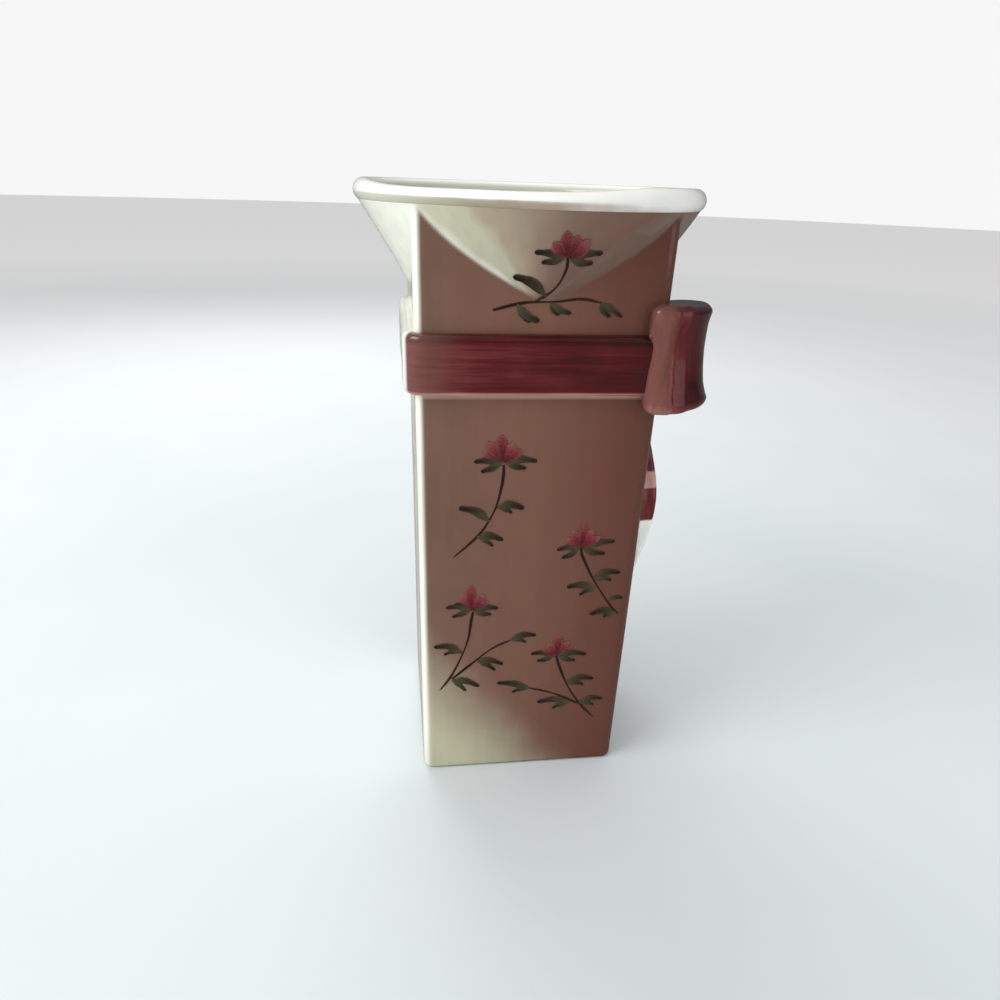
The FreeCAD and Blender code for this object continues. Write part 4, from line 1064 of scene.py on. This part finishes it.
stroke_tree = make_stroke_tree()
front = [(number, 1, 0.0, 0.0) for number in range(len(SPRIGS))]
petals, leaves = [], []
for label, placed, turn in (("front", front, 0.0), ("right", RIGHT_SPRIGS, math.pi / 2),
                            ("back", BACK_SPRIGS, math.pi)):
    for kind, enamel, group in (("petal", petal_enamel, petals), ("leaf", leaf_enamel, leaves),
                                ("stem", stem_enamel, leaves)):
        name = f"{label}_{kind}_strokes"
        strokes = draw_strokes(name + "_drawn", placed, kind)
        group.append(node_piece(strokes, name, stroke_tree,
                                {"Vessel": vessel, "Face Turn": turn, "Enamel": enamel}))

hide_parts("base_slab", "body_wall", "flared_collar")
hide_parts("rolled_lip")
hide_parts("ribbon_band")
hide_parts("bow_knot")
for piece, node in zip(loops + tails, LOOP_NODES + TAIL_NODES):
    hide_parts(node)
for group, slot in (([vessel], "vessel_glaze"), ([lip], "rim_glaze"),
                    ([band, knot] + loops + tails, "ribbon_glaze"),
                    (petals, "petal_enamel"), (leaves, "leaf_enamel")):
    for piece in group:
        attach(piece, "root")


# Floor, light and camera


def make_floor():
    """A plain pale floor, with the faint mottle of painted board."""
    material, tree = new_material("pale_painted_floor")
    place = add(tree, "ShaderNodeTexCoord").outputs["Object"]
    mottle = add(tree, "ShaderNodeTexNoise", None,
                 {"Vector": place, "Scale": 6.0, "Detail": 2.0}).outputs["Fac"]
    colour = add(tree, "ShaderNodeValToRGB", {"stops": [
        (0.3, "#D3DADC"), (0.7, "#D7DDDF")]}, {0: mottle}).outputs[0]
    distance = add(tree, "ShaderNodeVectorMath", {"operation": "LENGTH"}, {0: place}).outputs["Value"]
    far = add(tree, "ShaderNodeMapRange", None,
              {"Value": distance, "From Min": 0.3, "From Max": 2.5}).outputs[0]
    colour = add(tree, "ShaderNodeMix", {"data_type": "RGBA"},
                 {0: far, 6: colour, 7: hex_colour("#FBFBFB")}).outputs[2]
    # dimmer where the glaze mirrors it, so that dark colours keep their depth
    path = add(tree, "ShaderNodeLightPath").outputs
    colour = add(tree, "ShaderNodeMix", {"data_type": "RGBA"},
                 {0: path["Is Glossy Ray"], 6: colour, 7: hex_colour("#7A7672")}).outputs[2]
    shader = add(tree, "ShaderNodeBsdfPrincipled", None, {"Base Color": colour, "Roughness": 0.75})
    add(tree, "ShaderNodeOutputMaterial", None, {"Surface": shader.outputs[0]})
    disc = bmesh.new()
    bmesh.ops.create_circle(disc, cap_ends=True, segments=96, radius=FLOOR_RADIUS)
    mesh = bpy.data.meshes.new("floor")
    disc.to_mesh(mesh)
    disc.free()
    mesh.materials.append(material)
    floor = new_object("floor", mesh)


def make_world():
    """Soft light from all round, white where it is seen straight, and dimmer in the glaze's mirror."""
    world = bpy.data.worlds.new("studio")
    world.use_nodes = True
    tree = world.node_tree
    tree.nodes.clear()
    path = add(tree, "ShaderNodeLightPath").outputs
    seen = add(tree, "ShaderNodeMath", {"operation": "MAXIMUM"},
               {0: path["Is Camera Ray"], 1: path["Is Transmission Ray"]}).outputs[0]
    strength = add(tree, "ShaderNodeMapRange", None,
                   {"Value": seen, "To Min": 0.72, "To Max": 0.93}).outputs[0]
    heading = add(tree, "ShaderNodeTexCoord").outputs["Generated"]
    height = add(tree, "ShaderNodeSeparateXYZ", None, {0: heading}).outputs["Z"]
    mirrored = add(tree, "ShaderNodeMapRange", None,
                   {"Value": height, "From Min": -0.05, "From Max": 0.55,
                    "To Min": 0.06, "To Max": 0.30}).outputs[0]
    strength = add(tree, "ShaderNodeMix", {"data_type": "FLOAT"},
                   {0: path["Is Glossy Ray"], 2: strength, 3: mirrored}).outputs[0]
    sky = add(tree, "ShaderNodeBackground", None, {"Color": (1.0, 1.0, 1.0, 1.0), "Strength": strength})
    add(tree, "ShaderNodeOutputWorld", None, {"Surface": sky.outputs[0]})
    bpy.context.scene.world = world


def soft_light(name, spot, target, size, power, mirrored=True):
    """A square soft box that looks at a point, and that the glaze mirrors or not."""
    lamp = bpy.data.lights.new(name, "AREA")
    lamp.shape = "SQUARE"
    lamp.size = size
    lamp.energy = power
    light = bpy.data.objects.new(name, lamp)
    light.location = spot
    light.rotation_euler = (Vector(target) - Vector(spot)).to_track_quat("-Z", "Y").to_euler()
    light.visible_glossy = mirrored
    bpy.context.scene.collection.objects.link(light)


def make_camera():
    """The photograph's own viewpoint: 343 mm in front, a little left, 260 mm up, looking down 22 degrees."""
    yaw, pitch, roll = (math.radians(angle) for angle in (CAMERA_YAW, CAMERA_PITCH, CAMERA_ROLL))
    ahead = Vector((-math.sin(yaw) * math.cos(pitch), math.cos(yaw) * math.cos(pitch), math.sin(pitch)))
    right = Vector((math.cos(yaw), math.sin(yaw), 0))
    up = right.cross(ahead)
    level = right * math.cos(roll) + up * math.sin(roll)
    upright = up * math.cos(roll) - right * math.sin(roll)
    lens = bpy.data.cameras.new("camera")
    lens.lens = CAMERA_LENS
    lens.sensor_width = 36
    lens.clip_start = 0.01
    camera = bpy.data.objects.new("camera", lens)
    turned = Matrix((level, upright, -ahead)).transposed().to_4x4()
    camera.matrix_world = Matrix.Translation(CAMERA_SPOT) @ turned
    bpy.context.scene.collection.objects.link(camera)
    bpy.context.scene.camera = camera


make_floor()
make_world()
soft_light("key_from_upper_left", (-0.9, -0.4, 0.9), (0, 0, 0.13), 0.7, 7.0)
soft_light("fill_from_right", (0.9, -0.8, 0.5), (0, 0, 0.13), 0.9, 1.5)
soft_light("fill_from_left", (-1.0, -0.2, 0.1), (0, 0, 0.2), 0.5, 2.2, mirrored=False)
soft_light("light_from_behind", (-0.2, 0.9, 0.9), (0, 0, 0.15), 0.7, 6.0, mirrored=False)
make_camera()
bpy.context.scene.view_settings.view_transform = "Standard"
